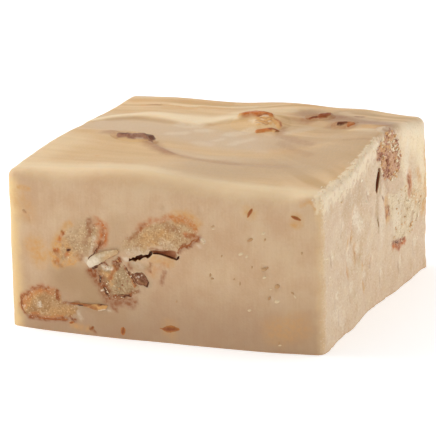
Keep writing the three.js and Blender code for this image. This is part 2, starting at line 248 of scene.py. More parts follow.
def top_relief(x, y):
    """How far the top skin stands above HEIGHT."""
    relief = np.zeros_like(x)
    for middle_x, middle_y, reach_x, reach_y, rise in SWELLS:
        relief += rise * bell(x - middle_x, reach_x) * bell(y - middle_y, reach_y)
    for fold in (BACK_FOLD, FRONT_FOLD):
        behind = (y - line_through(fold["crest"], x)) * fold["to_front"]
        climb = smooth_step(behind, -fold["steep_run"], 0.4 * fold["steep_run"])
        relief += line_through(fold["rise"], x) * climb * np.exp(-np.maximum(behind, 0) / fold["slow_run"])
    return relief


def stand_out(side, up):
    return BELLY[side] * (1 - (1 - BELLY_AT_RIM) * np.clip(up / HEIGHT, 0, 1))


def fade_along(across):
    return 1 - np.clip(across, -1, 1) ** 4


def right_loss(y, up):
    """What the chipped rim and the dented foot take off the right side."""
    share = np.clip(up / HEIGHT, 0, 1)
    chip = CHIP_DEPTH * bell(y - RIGHT_MOUND[1], RIGHT_MOUND[3]) * share**3
    dent = FOOT_DENT["depth"] * bell(y - FOOT_DENT["y"], FOOT_DENT["reach"]) * (1 - share) ** 4
    return chip + dent


# How far each cut side waves in and out
SIDE_WAVE = {"front": 0.12, "back": 0.16, "right": 0.2, "left": 0.16}


def side_wave(side, along, up):
    """Slow unevenness of a cut side."""
    return SIDE_WAVE[side] * cloud(flat_points(along, up), 7.0, SIDE_SEED[side])


def side_reach(side, along, up):
    """How far a cut side is from the middle of the slab."""
    if side in ("front", "back"):
        out = stand_out(side, up) * fade_along(along / (WIDTH / 2))
        return DEPTH / 2 + out + side_wave(side, along, up)
    out = stand_out(side, up)
    bend = 0.0
    if side == "right":
        out = out - right_loss(along, up)
        bend = rim_bend(along, up)
    return WIDTH / 2 + out * fade_along(along / (DEPTH / 2)) + side_wave(side, along, up) - bend


def rim_bend(along, up):
    """How far the right rim's rounding takes points of that side back."""
    at_rim = np.stack([np.full_like(along, WIDTH / 2), along, np.full_like(along, HEIGHT)], axis=1)
    radius = rim_radius(at_rim)
    over = up - (HEIGHT + top_relief(at_rim[:, 0], along) - radius)
    return radius - np.sqrt(radius**2 - np.clip(over, 0.0, 0.98 * radius) ** 2)


def on_side(side, along, up, out):
    """Points of the slab from how far along a side, how far up and how far out of it they lie."""
    reach = side_reach(side, along, up) + out
    if side == "front":
        return np.stack([along, -reach, up], axis=1)
    if side == "back":
        return np.stack([-along, reach, up], axis=1)
    if side == "right":
        return np.stack([reach, along, up], axis=1)
    return np.stack([-reach, -along, up], axis=1)


def side_places(side, points):
    """How far along a side and how far up points lie, or their X and Y for the top."""
    if side == "top":
        return points[:, :2].copy()
    along = {"front": points[:, 0], "back": -points[:, 0], "right": points[:, 1], "left": -points[:, 1]}[side]
    return np.stack([along, points[:, 2]], axis=1)


def towards(facing):
    """How squarely each point faces each side and the top."""
    ways = {"front": -facing[:, 1], "back": facing[:, 1], "right": facing[:, 0], "left": -facing[:, 0]}
    ways["top"] = facing[:, 2]
    return {side: np.clip(way, 0.0, 1.0) ** 2 for side, way in ways.items()}


def smooth_ring(knots, spacing):
    """Evenly spaced points of the smooth closed line through the knots."""
    knots = np.array(knots, float)
    before, after, beyond = np.roll(knots, 1, 0), np.roll(knots, -1, 0), np.roll(knots, -2, 0)
    dense = []
    for t in np.linspace(0.0, 1.0, 24, endpoint=False):
        dense.append(0.5 * (2 * knots + (after - before) * t
                            + (2 * before - 5 * knots + 4 * after - beyond) * t**2
                            + (3 * knots - before - 3 * after + beyond) * t**3))
    line = np.stack(dense, axis=1).reshape(-1, 2)
    return straight_ring(line, spacing)


def straight_ring(knots, spacing):
    """Evenly spaced points of the closed line of straight runs through the knots."""
    closed = np.array([*knots, knots[0]], float)
    length = np.concatenate([[0.0], np.cumsum(np.linalg.norm(np.diff(closed, axis=0), axis=1))])
    marks = np.linspace(0.0, length[-1], max(12, int(length[-1] / spacing)), endpoint=False)
    return np.stack([np.interp(marks, length, closed[:, axis]) for axis in (0, 1)], axis=1)


def distance_to_path(places, path):
    """Distance of flat places from a path of straight runs, or from a single spot."""
    path = np.array(path, float)
    nearest = np.linalg.norm(places - path[0], axis=1)
    for start, end in zip(path[:-1], path[1:]):
        run = end - start
        share = np.clip((places - start) @ run / (run @ run), 0.0, 1.0)
        nearest = np.minimum(nearest, np.linalg.norm(places - start - share[:, None] * run, axis=1))
    return nearest


def inside_depth(places, ring):
    """How far inside a ring places lie, below 0 outside it."""
    inside = np.zeros(len(places), bool)
    for (x0, y0), (x1, y1) in zip(ring, np.roll(ring, -1, 0)):
        spans = (y0 > places[:, 1]) != (y1 > places[:, 1])
        level = (places[:, 1] - y0) / (y1 - y0 if y1 != y0 else 1.0)
        inside ^= spans & (places[:, 0] < x0 + level * (x1 - x0))
    away = distance_to_path(places, np.vstack([ring, ring[:1]]))
    return np.where(inside, away, -away)


def points_of(piece):
    flat = np.empty(3 * len(piece.data.vertices))
    piece.data.vertices.foreach_get("co", flat)
    return flat.reshape(-1, 3) / MM


def move_points(piece, points):
    piece.data.vertices.foreach_set("co", (points * MM).ravel())
    piece.data.update()


def facing_of(piece):
    flat = np.empty(3 * len(piece.data.vertices), np.float32)
    piece.data.vertex_normals.foreach_get("vector", flat)
    return flat.reshape(-1, 3).astype(float)


def paint(piece, layer, amount):
    """Keeps one amount for each point of a piece, which its finish reads by the layer's name."""
    kept = piece.data.attributes.new(layer, "FLOAT", "POINT")
    kept.data.foreach_set("value", np.asarray(amount, np.float32))


def choose(piece):
    bpy.ops.object.select_all(action="DESELECT")
    piece.select_set(True)
    bpy.context.view_layer.objects.active = piece


def apply_modifier(piece, kind, **settings):
    choose(piece)
    modifier = piece.modifiers.new(kind.title(), kind)
    for name, value in settings.items():
        setattr(modifier, name, value)
    bpy.ops.object.modifier_apply(modifier=modifier.name)


def joined(pieces, name):
    """Pieces grown into one."""
    bpy.ops.object.select_all(action="DESELECT")
    for piece in pieces:
        piece.select_set(True)
    bpy.context.view_layer.objects.active = pieces[0]
    bpy.ops.object.join()
    return new_piece(name)


def new_piece(name):
    piece = bpy.context.object
    piece.name = name
    piece.data.name = name
    return piece


def subdivided_box():
    """A box of the slab's size whose sides and top are cut into small squares."""
    bpy.ops.object.select_all(action="DESELECT")
    bpy.ops.mesh.primitive_cube_add(size=1.0, location=(0, 0, HEIGHT / 2 * MM),
                                    scale=(WIDTH * MM, DEPTH * MM, HEIGHT * MM))
    piece = new_piece("fudge")
    bpy.ops.object.transform_apply(location=True, rotation=True, scale=True)
    bpy.ops.object.mode_set(mode="EDIT")
    bpy.ops.mesh.select_mode(type="EDGE")
    for axis, cuts in enumerate(SLAB_CUTS):
        for count in cuts:
            bpy.ops.mesh.select_all(action="DESELECT")
            mesh = bmesh.from_edit_mesh(piece.data)
            for edge in mesh.edges:
                run = edge.verts[1].co - edge.verts[0].co
                edge.select = abs(run[axis]) > 0.9 * run.length
            bmesh.update_edit_mesh(piece.data)
            bpy.ops.mesh.subdivide(number_cuts=count)
    bpy.ops.mesh.select_mode(type="FACE")
    bpy.ops.mesh.select_all(action="DESELECT")
    mesh = bmesh.from_edit_mesh(piece.data)
    for face in mesh.faces:
        face.select = face.normal.z < -0.9
    bmesh.update_edit_mesh(piece.data)
    bpy.ops.mesh.dissolve_faces()
    bpy.ops.object.mode_set(mode="OBJECT")
    return piece


# Small pits and dents of the cut sides, steeper on their left, as (along, up, reach, depth)
PITS = {
    "front": [
        (18.7, 22.3, 0.8, 0.15), (21.3, 16.6, 0.9, 0.2), (24.0, 13.4, 0.6, 0.15), (22.5, 10.8, 0.7, 0.15),
        (10.4, 14.0, 0.6, 0.15), (-28.5, 23.0, 0.6, 0.1), (8.0, 27.5, 0.6, 0.1)],
    "right": [
        (-11.9, 21.0, 3.0, 1.3), (-16.0, 15.0, 2.2, 0.9), (-10.3, 14.7, 1.6, 0.7), (-6.2, 8.4, 1.8, 0.8),
        (-6.6, 11.2, 1.2, 0.5), (-14.6, 7.7, 1.6, 0.6), (-24.0, 9.0, 1.5, 0.25), (-20.0, 22.0, 1.2, 0.2),
        (-2.5, 11.0, 1.2, 0.25), (-22.0, 5.0, 1.6, 0.3), (-27.0, 18.0, 1.4, 0.2), (4.0, 6.0, 1.4, 0.3),
        (24.0, 7.0, 1.6, 0.3), (15.0, 5.0, 1.4, 0.25), (-4.0, 25.0, 1.0, 0.2)],
    "back": [(-6.0, 20.0, 0.8, 0.3), (20.0, 24.0, 0.7, 0.3), (22.0, 8.0, 0.8, 0.3), (-24.0, 9.0, 0.7, 0.3)],
    "left": [(14.0, 22.0, 0.8, 0.3), (18.0, 9.0, 0.7, 0.3), (-20.0, 23.0, 0.8, 0.3), (8.0, 5.0, 0.7, 0.3)],
}
# How rough each cut side and the right rim are, where along Y that rim turns smoother, how strongly pits get
# painted shade and light and how far they are drawn upwards
SIDE_ROUGHNESS = {"front": 0.05, "back": 0.14, "right": 0.26, "left": 0.14}
RIM_ROUGHNESS = 0.3
SMOOTHER_RIM_ALONG = (6, 12)
PIT_SHADING = {"front": 0.1, "back": 0.4, "right": 0.42, "left": 0.4}
PIT_STRETCH = {"front": 1.0, "back": 1.3, "right": 1.1, "left": 1.3}
# How high the knife's drags stand on the sides, and the waves and the grain on the top
DRAG_HEIGHT = 0.03
SKIN_WAVE = 0.08
SKIN_GRAIN = 0.02


def side_texture(side, places):
    """Height of a cut side's fine unevenness: knife drags, crumbling and pits."""
    along, up = places.T
    points = flat_points(along, up)
    drag = DRAG_HEIGHT * cloud(points, (0.5, 16.0, 1.0), SIDE_SEED[side] + SEED["drag"])
    drawn = points / np.array([1.0, PIT_STRETCH[side], 1.0])
    lumps = crumble(drawn, (2.6, 1.1, 0.55), SIDE_SEED[side] + SEED["crumbling"])
    height = drag + SIDE_ROUGHNESS[side] * lumps - 1.2 * SIDE_ROUGHNESS[side] * np.maximum(lumps - 0.35, 0)
    for middle, level, reach, depth in PITS[side]:
        width = np.where(along < middle, 0.45, 1.0) * reach
        height -= depth * bell(along - middle, width) * bell(up - level, reach * PIT_STRETCH[side])
    return height


def bed_depth(side, places):
    """How far a side is sunk under the kernels that lie in it."""
    depth = np.zeros(len(places))
    for kernel_side, outline in OUTLINES.values():
        if kernel_side == side:
            inside = inside_depth(places, smooth_ring(outline, KERNEL_SPACING))
            bed = LIP_BED * smooth_step(inside, 0.2, 0.6) + KERNEL_BED * smooth_step(inside, 1.0, 1.6)
            depth = np.maximum(depth, bed)
    return depth


def top_bed(places):
    """How far the top skin is sunk under the kernels that it left bare."""
    depth = np.zeros(len(places))
    for kernel in TOP_KERNELS.values():
        out = np.hypot(*((places - kernel["middle"]) / kernel["radii"]).T)
        depth = np.maximum(depth, TOP_BED * (1 - smooth_step(out, 0.55, 0.8)))
    return depth


def top_texture(places):
    """Height of the poured skin's fine unevenness."""
    points = flat_points(*places.T)
    waves = cloud(points, (6.0, 4.0, 1.0), SEED["skin"])
    return SKIN_WAVE * waves + SKIN_GRAIN * crumble(points, (1.6, 0.7), SEED["skin"] + 1)


def rim_radius(grid):
    """Radius of the rim nearest to each point: soft in front, broken sharp on the right, softer far back."""
    x, y, z = grid.T
    up = smooth_step(z, *RIM_UP)
    at_front = up * smooth_step(DEPTH / 2 + y, *FRONT_RIM_IN) * smooth_step(WIDTH / 2 + x, *LEFT_RIM_IN)
    at_right = up * smooth_step(WIDTH / 2 - x, *RIGHT_RIM_IN)
    right = RIGHT_RIM_RADIUS + (FAR_RIM_RADIUS - RIGHT_RIM_RADIUS) * smooth_step(y, *FAR_RIM_ALONG)
    radius = RIM_RADIUS + (FRONT_RIM_RADIUS - RIM_RADIUS) * at_front
    return radius + (right - radius) * at_right


def shape_slab(piece):
    """Gives the box the slab's soft rims, bellies, folds, uneven surfaces and beds for the kernels."""
    grid = points_of(piece)
    radius = rim_radius(grid)[:, None]
    half = np.array([WIDTH / 2, DEPTH / 2])
    core = grid.copy()
    core[:, :2] = np.clip(grid[:, :2], radius - half, half - radius)
    core[:, 2] = np.minimum(grid[:, 2], HEIGHT - radius[:, 0])
    facing = grid - core
    facing /= np.linalg.norm(facing, axis=1, keepdims=True)
    points = core + radius * facing

    x, y, z = points.T
    up = np.clip(z / HEIGHT, 0, 1)
    across_x, across_y = x / half[0], y / half[1]
    out_right = stand_out("right", z) - right_loss(y, z)
    out_x = np.where(across_x > 0, out_right, -stand_out("left", z)) * fade_along(across_y)
    out_y = np.where(across_y > 0, stand_out("back", z), -stand_out("front", z)) * fade_along(across_x)
    lift = top_relief(x, y) * up
    ways = towards(facing)
    detail = ways["top"] * (top_texture(points[:, :2]) - top_bed(points[:, :2]))
    lifted = points + np.outer(lift, (0.0, 0.0, 1.0))
    for side in BELLY:
        places = side_places(side, lifted)
        height = side_wave(side, *places.T) + side_texture(side, places) - bed_depth(side, places)
        detail += ways[side] * height
    rim = 4.0 * ways["right"] * ways["top"] * (1 - 0.8 * smooth_step(points[:, 1], *SMOOTHER_RIM_ALONG))
    detail += RIM_ROUGHNESS * rim * crumble(points, (2.4, 1.0), SEED["rim"])
    points = points + facing * detail[:, None]
    points[:, 0] += out_x * np.abs(across_x) ** 5
    points[:, 1] += out_y * np.abs(across_y) ** 5
    points[:, 2] += lift
    points[:, 2] = np.where(grid[:, 2] < 1e-6, 0.0, np.maximum(points[:, 2], 0.0))
    move_points(piece, points)


def outline_prism(name, ring, depth):
    """A closed prism on a ring: a filled circle whose points move to the ring, drawn out downwards."""
    bpy.ops.object.select_all(action="DESELECT")
    bpy.ops.mesh.primitive_circle_add(vertices=len(ring), radius=MM, fill_type="NGON")
    piece = new_piece(name)
    order = np.argsort(np.arctan2(*points_of(piece)[:, 1::-1].T))
    points = points_of(piece)
    points[order, :2] = ring
    move_points(piece, points)
    middle = ring.mean(axis=0) * MM
    bpy.ops.object.mode_set(mode="EDIT")
    bpy.ops.mesh.select_all(action="SELECT")
    for drop, narrow in depth:
        bpy.ops.mesh.extrude_region_move(TRANSFORM_OT_translate={"value": (0, 0, -drop * MM)})
        bpy.ops.transform.resize(value=(narrow, narrow, 1.0), center_override=(*middle, 0.0))
    bpy.ops.mesh.select_all(action="SELECT")
    bpy.ops.mesh.normals_make_consistent(inside=False)
    bpy.ops.object.mode_set(mode="OBJECT")
    return piece


def cut_splits(piece):
    """Opens the splits in the fudge."""
    for name, (side, depth, dark_at, outline) in SPLITS.items():
        ring = straight_ring(outline, SPLIT_SPACING)
        shade = min(dark_at, 0.5 * depth)
        cutter = outline_prism(name, ring, [(0.5 * shade, 0.98), (0.5 * shade, 0.97), (depth - shade, 0.85)])
        along, up, out = points_of(cutter).T
        move_points(cutter, on_side(side, along, up, np.where(out > -0.01, 1.5, out)))
        apply_modifier(piece, "BOOLEAN", operation="DIFFERENCE", object=cutter, solver="EXACT")
        bpy.data.objects.remove(cutter)


# Marks on the sides and the top, as (path, half width, strength) in places on that side, by tint
MARKS = {
    "front": {
        # glow: painted light, the glow through the left edge and along the near upright edge
        "glow": [
            ([(-33.4, 29), (-33.4, 15), (-33.2, 1)], 3.6, 0.8), ([(33.4, 30), (33.4, 2)], 2.2, 0.35)],
        "amber": [
            ([(-27.4, 17.2), (-26.0, 15.4)], 3.2, 0.6), ([(-30.5, 26.5), (-29, 24)], 3.0, 0.3),
            ([(-30.8, 28.9), (-28.4, 28.7)], 0.6, 0.7),
            ([(29.2, 30.2), (30.6, 30.5), (32.0, 29.9)], 0.7, 0.45),
            ([(27.2, 26.1), (28.6, 26.0)], 0.9, 0.6), ([(18.5, 27.7)], 1.9, 0.5),
            ([(28.0, 27.2)], 2.0, 0.5), ([(3.0, 25.8), (5.5, 25.8), (7.4, 24.6)], 1.8, 0.6),
            ([(-22.4, 19.0), (-23.0, 15.8), (-22.8, 14.2)], 1.6, 0.9),
            ([(-21.6, 20.6), (-19.8, 22.2)], 1.0, 0.8),
            ([(-21.4, 13.9), (-19.2, 14.8), (-18.2, 16.0)], 1.2, 0.7),
            ([(-20.6, 18.4), (-19.6, 16.2)], 1.2, 0.6),
            ([(-29.8, 4.4), (-29.0, 6.4), (-26.8, 8.0)], 1.2, 0.5), ([(-24, 3.6), (-20, 4.4)], 1.5, 0.3),
            ([(-19.6, 1.7), (-17.6, 1.5)], 0.9, 0.6), ([(-16.6, 1.3), (-15.2, 1.3)], 0.9, 0.5),
            ([(1.8, 2.9)], 2.6, 0.4), ([(-1.6, 16.8), (1.8, 16.4)], 1.4, 0.5),
            ([(-2.0, 15.6), (-1.6, 14.0)], 1.2, 0.35), ([(24, 4.6), (28, 5.4)], 4.0, 0.35),
            ([(-12.7, 13.0), (-11.2, 12.6)], 0.9, 0.5),
            ([(-10.3, 14.3), (-10.6, 13.0), (-10.9, 11.0)], 1.0, 0.6),
            ([(-3.0, 20.6), (1.0, 21.8)], 2.0, 0.4)],
        "orange": [
            ([(-13.6, 23.2), (-12.5, 22.2), (-12.4, 20.4), (-13.0, 19.0)], 1.5, 0.75),
            ([(-22.7, 16.6)], 0.9, 0.8), ([(-22.7, 14.4)], 0.8, 0.7),
            ([(-22.3, 18.8), (-21.4, 20.4)], 0.7, 0.6), ([(-20.6, 16.0)], 0.8, 0.6),
            ([(-4.6, 22.8), (-2.0, 24.4), (1.4, 25.3), (4.0, 25.4), (6.0, 24.8), (7.2, 23.4)], 1.0, 0.5),
            ([(5.6, 22.4), (7.6, 21.8)], 0.9, 0.6),
            ([(-10.3, 14.3), (-10.6, 13.0), (-11.0, 11.5)], 0.8, 0.4),
            ([(-7.0, 13.0), (-5.8, 11.1)], 0.4, 0.7), ([(-3.0, 13.9), (1.0, 15.8)], 1.0, 0.2),
            ([(-30.7, 4.6), (-30.0, 6.6), (-28.4, 8.1), (-26.2, 8.7), (-23.6, 8.4)], 1.3, 0.5),
            ([(-22.3, 7.7)], 0.9, 0.6), ([(-28, 2.8), (-22, 2.9)], 0.7, 0.5)],
        "grey": [
            ([(-20.5, 11.4), (-16.5, 11), (-15.0, 8.6)], 5.0, 0.85), ([(-10.6, 20.6), (-9, 23)], 3.4, 0.3),
            ([(-13, 4.0), (-9, 4.8)], 2.4, 0.4), ([(-6.0, 15.1), (-3.0, 15.0)], 1.0, 0.8),
            ([(-16.4, 18.4), (-16.0, 17.0)], 1.0, 0.6)],
        "brown": [
            ([(-7.0, 20.6), (-5.7, 21.4), (-4.8, 22.5), (-3.8, 23.3)], 0.7, 0.5),
            ([(5.6, 22.0), (6.8, 22.2), (8.0, 21.8)], 0.7, 0.6),
            ([(8.1, 21.6), (6.5, 21.2), (6.0, 20.4), (5.0, 20.0), (3.9, 19.5), (3.4, 18.6)], 0.5, 0.8),
            ([(1.2, 23.6), (3.0, 23.2)], 1.2, 0.3), ([(-2.4, 18.9), (0.6, 18.8), (3.3, 18.8)], 0.35, 0.6),
            ([(0.5, 14.4), (0.2, 13.2), (-0.1, 11.9)], 0.55, 0.5),
            ([(-2.25, 15.9), (-2.4, 14.3)], 0.35, 0.7),
            ([(-15.5, 23.2), (-15.5, 21.8), (-15.6, 20.4)], 1.1, 0.55),
            ([(-15.9, 20.0), (-16.5, 19.0)], 1.0, 0.4), ([(-14.9, 23.4), (-14.6, 22.4)], 0.7, 0.4),
            ([(-13.0, 19.4), (-13.4, 18.2), (-13.9, 17.4)], 0.7, 0.9),
            ([(-12.4, 20.4), (-12.5, 21.6)], 0.5, 0.5), ([(-22.9, 16.4), (-22.6, 15.6)], 0.6, 0.6),
            ([(-21.7, 20.8), (-21.2, 20.3)], 0.5, 0.6), ([(-20.1, 17.0)], 0.8, 0.8),
            ([(-18.2, 16.2), (-17.2, 16.0)], 1.0, 0.35), ([(-23.0, 14.0), (-21.6, 13.6)], 0.6, 0.4),
            ([(-14.6, 13.2), (-13.2, 11.5), (-12.4, 9.8), (-11.5, 8.3)], 1.9, 0.7),
            ([(-10.6, 7.4), (-6.4, 7.8)], 1.6, 0.6), ([(-15.1, 13.5), (-13.9, 12.9)], 0.8, 0.95),
            ([(-13.8, 14.7), (-12.0, 14.9)], 0.6, 0.85), ([(-13.3, 12.2), (-12.6, 11.0)], 0.8, 0.8),
            ([(-12.4, 10.4), (-11.9, 9.7), (-11.2, 8.5)], 0.9, 0.9),
            ([(-10.3, 15.2), (-9.2, 16.2)], 0.55, 1.0), ([(-9.8, 14.8), (-9.0, 15.6)], 0.6, 1.0),
            ([(-9.6, 14.2), (-9.1, 14.7)], 0.5, 1.0),
            ([(-7.5, 14.5), (-6.9, 13.2), (-5.6, 11.5)], 0.4, 1.0),
            ([(-11.6, 8.6), (-10.7, 8.5), (-9.1, 8.8), (-8.0, 8.8), (-6.3, 9.0)], 0.4, 0.95),
            ([(-11.1, 7.7), (-7.6, 7.7)], 0.9, 0.5), ([(-6.0, 9.6), (-5.0, 9.8)], 0.9, 0.5),
            ([(-7.1, 15.1), (-6.4, 14.3)], 0.6, 0.6),
            ([(-10.2, 14.4), (-10.5, 13.2), (-10.9, 11.8)], 0.6, 0.45),
            ([(-10.6, 6.4), (-9.4, 5.8)], 0.5, 0.7),
            ([(-29.4, 7.4), (-30.5, 6.0), (-30.9, 5.0), (-30.4, 3.6), (-29.4, 2.5)], 0.4, 0.7),
            ([(-29.2, 7.6), (-28.2, 8.5), (-26.4, 9.0), (-24.5, 8.8)], 0.5, 0.6),
            ([(-22.5, 8.5), (-22.3, 7.4), (-22.6, 6.8)], 0.55, 0.95),
            ([(-29.2, 2.4), (-26.0, 2.4), (-22.5, 2.5), (-20.6, 2.7)], 0.5, 0.9),
            ([(-19.8, 3.4), (-19.0, 2.7)], 0.6, 1.0),
            ([(-21.4, 5.9), (-19.6, 6.2), (-17.8, 6.5)], 0.4, 0.6),
            ([(-15.4, 1.3), (-14.6, 1.2)], 0.5, 0.9), ([(-29.7, 24.2)], 0.4, 0.5),
            ([(-0.2, 27.4)], 0.8, 0.2)],
        # pale: the last stroke is painted glints on the core
        "pale": [
            ([(8.3, 21.6), (8.6, 21.2)], 0.4, 0.6), ([(7.4, 20.4), (8.2, 20.2)], 0.4, 0.3),
            ([(-14.3, 20.0), (-14.6, 18.4), (-15.0, 16.9)], 0.6, 0.3),
            ([(-16.1, 15.8), (-15.9, 14.9)], 0.6, 0.7), ([(-12.4, 14.1), (-11.0, 14.2)], 0.6, 0.75),
            ([(-8.1, 16.0), (-7.1, 16.1)], 0.6, 0.5), ([(-5.6, 15.3), (-4.0, 15.2)], 0.7, 0.25),
            ([(-7.4, 17.8), (-5.0, 18.2)], 0.9, 0.3), ([(0.4, 20.4), (1.6, 20.2)], 1.2, 0.2),
            ([(-26.6, 5.4), (-26.4, 4.9)], 0.5, 0.5), ([(-30.2, 4.5)], 0.4, 0.4),
            ([(-18.2, 4.6), (-17.8, 3.2)], 0.6, 0.3), ([(-11.6, 5.5), (-10.9, 5.7)], 0.3, 0.4),
            ([(-13.2, 9.5), (-12.3, 10.0)], 0.3, 0.8)],
        # dark: the first stroke is painted shade in a hole; those at up 13.9 to 15.0 under the shaving's left
        # end are painted shadow
        "dark": [
            ([(-20.3, 17.0), (-19.7, 16.9)], 0.4, 0.9),
            ([(-15.5, 14.3), (-14.9, 13.9), (-13.8, 14.3)], 0.35, 0.9),
            ([(-13.8, 13.0), (-13.2, 12.2), (-12.9, 11.2)], 0.4, 0.6),
            ([(-12.2, 9.6), (-11.4, 8.5)], 0.4, 0.8), ([(-13.4, 14.6), (-12.2, 15.0)], 0.3, 0.6),
            ([(-9.6, 15.6), (-9.2, 14.8)], 0.4, 0.5),
            ([(-7.4, 14.3), (-6.8, 13.2), (-5.8, 11.8)], 0.2, 0.7),
            ([(-9.2, 8.8), (-8.0, 8.7), (-6.9, 8.9)], 0.2, 0.7), ([(-19.4, 3.0)], 0.35, 0.6),
            ([(-15.1, 1.3)], 0.3, 0.6)],
        "film_and_shade": [
            ([(-19.4, 20.8), (-18.6, 18.6)], 2.0, 0.6), ([(-18, 22.8), (-14, 23.4)], 1.0, 0.6),
            ([(-8.2, 18.6), (-6.2, 18.9)], 1.6, 0.6)],
    },
    "right": {
        # glow: painted light along both upright edges of the right side
        "glow": [([(-32.8, 31), (-32.8, 2)], 2.0, 0.35), ([(32.6, 26), (32.6, 8)], 2.0, 0.5)],
        "cream": [([(20, 31), (28, 28), (31, 20)], 6.0, 0.9), ([(18, 27), (20, 22)], 3.0, 0.6)],
        # pale: the first two strokes are painted light on the far walls of the two largest scoops
        "pale": [
            ([(-10.5, 22.0), (-8.5, 19.6)], 2.4, 0.8), ([(-14.5, 16.5), (-13.8, 13.5)], 1.6, 0.5),
            ([(5, 22), (4, 14)], 2.5, 0.4), ([(-24, 6), (-20, 4)], 3.0, 0.4),
            ([(12, 14), (15, 19)], 3.0, 0.4), ([(20.5, 29), (19, 24)], 2.0, 0.5),
            ([(19, 33), (31, 30)], 2.2, 0.4)],
        "amber": [
            ([(-12.4, 23.0), (-13.7, 21.0), (-12.9, 18.4)], 1.6, 0.8),
            ([(-16.4, 17.7), (-17.2, 15.3), (-15.9, 12.1)], 1.5, 0.75),
            ([(-10.8, 15.8), (-11.3, 13.6)], 1.3, 0.7), ([(-7.7, 11.1), (-6.2, 5.9)], 1.3, 0.7),
            ([(25.7, 22.1), (26.7, 20.4)], 1.6, 0.6), ([(30.1, 19.5), (31, 14.6), (29.1, 13)], 1.8, 0.7),
            ([(23.2, 18.1), (25.2, 15.4)], 1.5, 0.45), ([(14.6, 7.6)], 0.9, 0.5),
            ([(31, 26), (31.5, 12)], 1.6, 0.6), ([(5.4, 32.6), (6.6, 31.2)], 1.4, 0.8),
            ([(7.0, 20.6), (7.8, 17.0)], 2.0, 0.9), ([(26, 20), (28, 16)], 2.0, 0.35),
            ([(20.8, 22.4), (21.2, 20)], 0.8, 0.5), ([(-2.4, 11.0)], 1.2, 0.35)],
        "orange": [
            ([(11.4, 10.0), (14.0, 9.2), (17.8, 9.2)], 1.1, 1.0), ([(2.6, 31.0), (4.2, 30.4)], 0.9, 0.7),
            ([(5.0, 22.0), (5.8, 20.6)], 0.6, 0.6), ([(20.4, 22.8), (20.9, 19.2)], 1.9, 0.6),
            ([(7.2, 19.0), (8.2, 18.4), (7.4, 17.4)], 0.8, 0.5),
            ([(-16.2, 11.6), (-15.6, 10.8)], 1.0, 0.35)],
        "brown": [
            ([(2.8, 30.6), (4.4, 30.1)], 0.6, 1.0), ([(5.2, 22.2), (5.8, 20.9)], 0.5, 1.0),
            ([(6.4, 19.4), (8.8, 19.2), (9.0, 17.4), (6.8, 17.2), (6.4, 19.4)], 0.5, 0.7),
            ([(14.4, 29.4), (15.6, 27.6), (15.4, 25.4)], 1.2, 0.5), ([(12, 25.2), (9.4, 25.6)], 1.0, 0.3),
            ([(11.3, 33.2)], 1.2, 0.4), ([(12.6, 31.2)], 0.8, 0.3),
            ([(11.0, 11.0), (13.0, 10.4), (17.6, 9.6)], 0.7, 0.7), ([(12.4, 9.8), (16.0, 9.4)], 0.7, 0.6),
            ([(13.4, 8.9), (14.6, 8.8)], 0.7, 0.6),
            ([(-13.0, 22.0), (-13.3, 20.0), (-12.8, 18.6)], 0.6, 0.3),
            ([(8, 34), (11, 34.2), (13, 33)], 1.2, 0.5), ([(20.2, 22.2), (20.8, 19.4)], 1.0, 0.6),
            ([(23, 14), (22, 11.8)], 0.8, 0.3), ([(9.8, 31.0), (10.8, 29.6)], 0.9, 0.4),
            ([(5.0, 26.6), (7.6, 24.8), (8.0, 22.6)], 1.3, 0.3)],
        "dark": [
            ([(2.6, 30.7), (3.4, 30.3), (4.4, 29.9)], 0.4, 0.45), ([(5.3, 21.9), (5.6, 21.2)], 0.4, 0.6),
            ([(7.4, 27.2)], 0.5, 0.6), ([(8.2, 24.8)], 0.4, 0.5), ([(7.7, 18.6), (7.8, 18.2)], 0.35, 0.6),
            ([(11.6, 10.8), (13.4, 10.2)], 0.5, 0.6), ([(15.8, 9.8), (17.2, 9.6)], 0.4, 0.4)],
        "grey": [
            ([(3.4, 27.4), (4.2, 25.6), (3.4, 23.6)], 1.6, 0.7),
            ([(1.2, 23), (1.4, 18), (1.8, 16)], 1.2, 0.6), ([(-18, 26), (-8, 27)], 4.0, 0.35)],
        "film_and_shade": [([(14, 21), (17, 16)], 3.0, 0.3)],
    },
    "top": {
        # cream: the stroke along the front rim and the wide stroke at the front left are painted highlights
        "cream": [
            ([(-5, 21.4), (-1, 24.4), (6, 25)], 2.4, 0.4), ([(17, 26.5), (24, 22)], 2.0, 0.3),
            ([(-33, -29), (-20, -29.4), (-8, -28), (10, -30), (33, -31)], 4.6, 0.5),
            ([(-33, -26), (-30, -10)], 7.0, 0.3), ([(24, 12), (30, 9)], 1.4, 0.4),
            ([(-21, 24.6), (-12, 26.0), (-3, 27.2)], 1.0, 0.4), ([(-8, 29.6), (6, 30.4)], 0.8, 0.3)],
        # A greyer, darker tan laid over the basin and along the front fold
        "grey_tan": [
            ([(-27, 6.5), (-18, 7.5), (-8, 6), (0, 4), (9, 4)], 9.0, 0.85),
            ([(-24, -1), (-20, -2)], 4.0, 0.4), ([(-9, -7), (-2, -9), (9, -10)], 4.5, 0.5)],
        # grey: the first stroke is painted shade below the back fold's crest
        "grey": [
            ([(-29, 10.0), (-24, 13.0), (-18, 13.0), (-12, 11.6)], 1.6, 0.5),
            ([(9.5, 14.5), (14, 16.5), (20, 13)], 4.5, 0.5), ([(11, 24), (20, 21), (31, 15)], 5.5, 0.9),
            ([(6.7, 19.1), (11.9, 19.3), (10, 14.5)], 3.0, 0.5),
            ([(15.5, 27.2), (20.5, 28.2), (23.4, 27.5)], 2.0, 0.6)],
        "amber": [
            ([(-21.7, 21.4), (-15.4, 23.4)], 1.3, 0.4), ([(-14, 25), (-9, 25.4)], 1.4, 0.5),
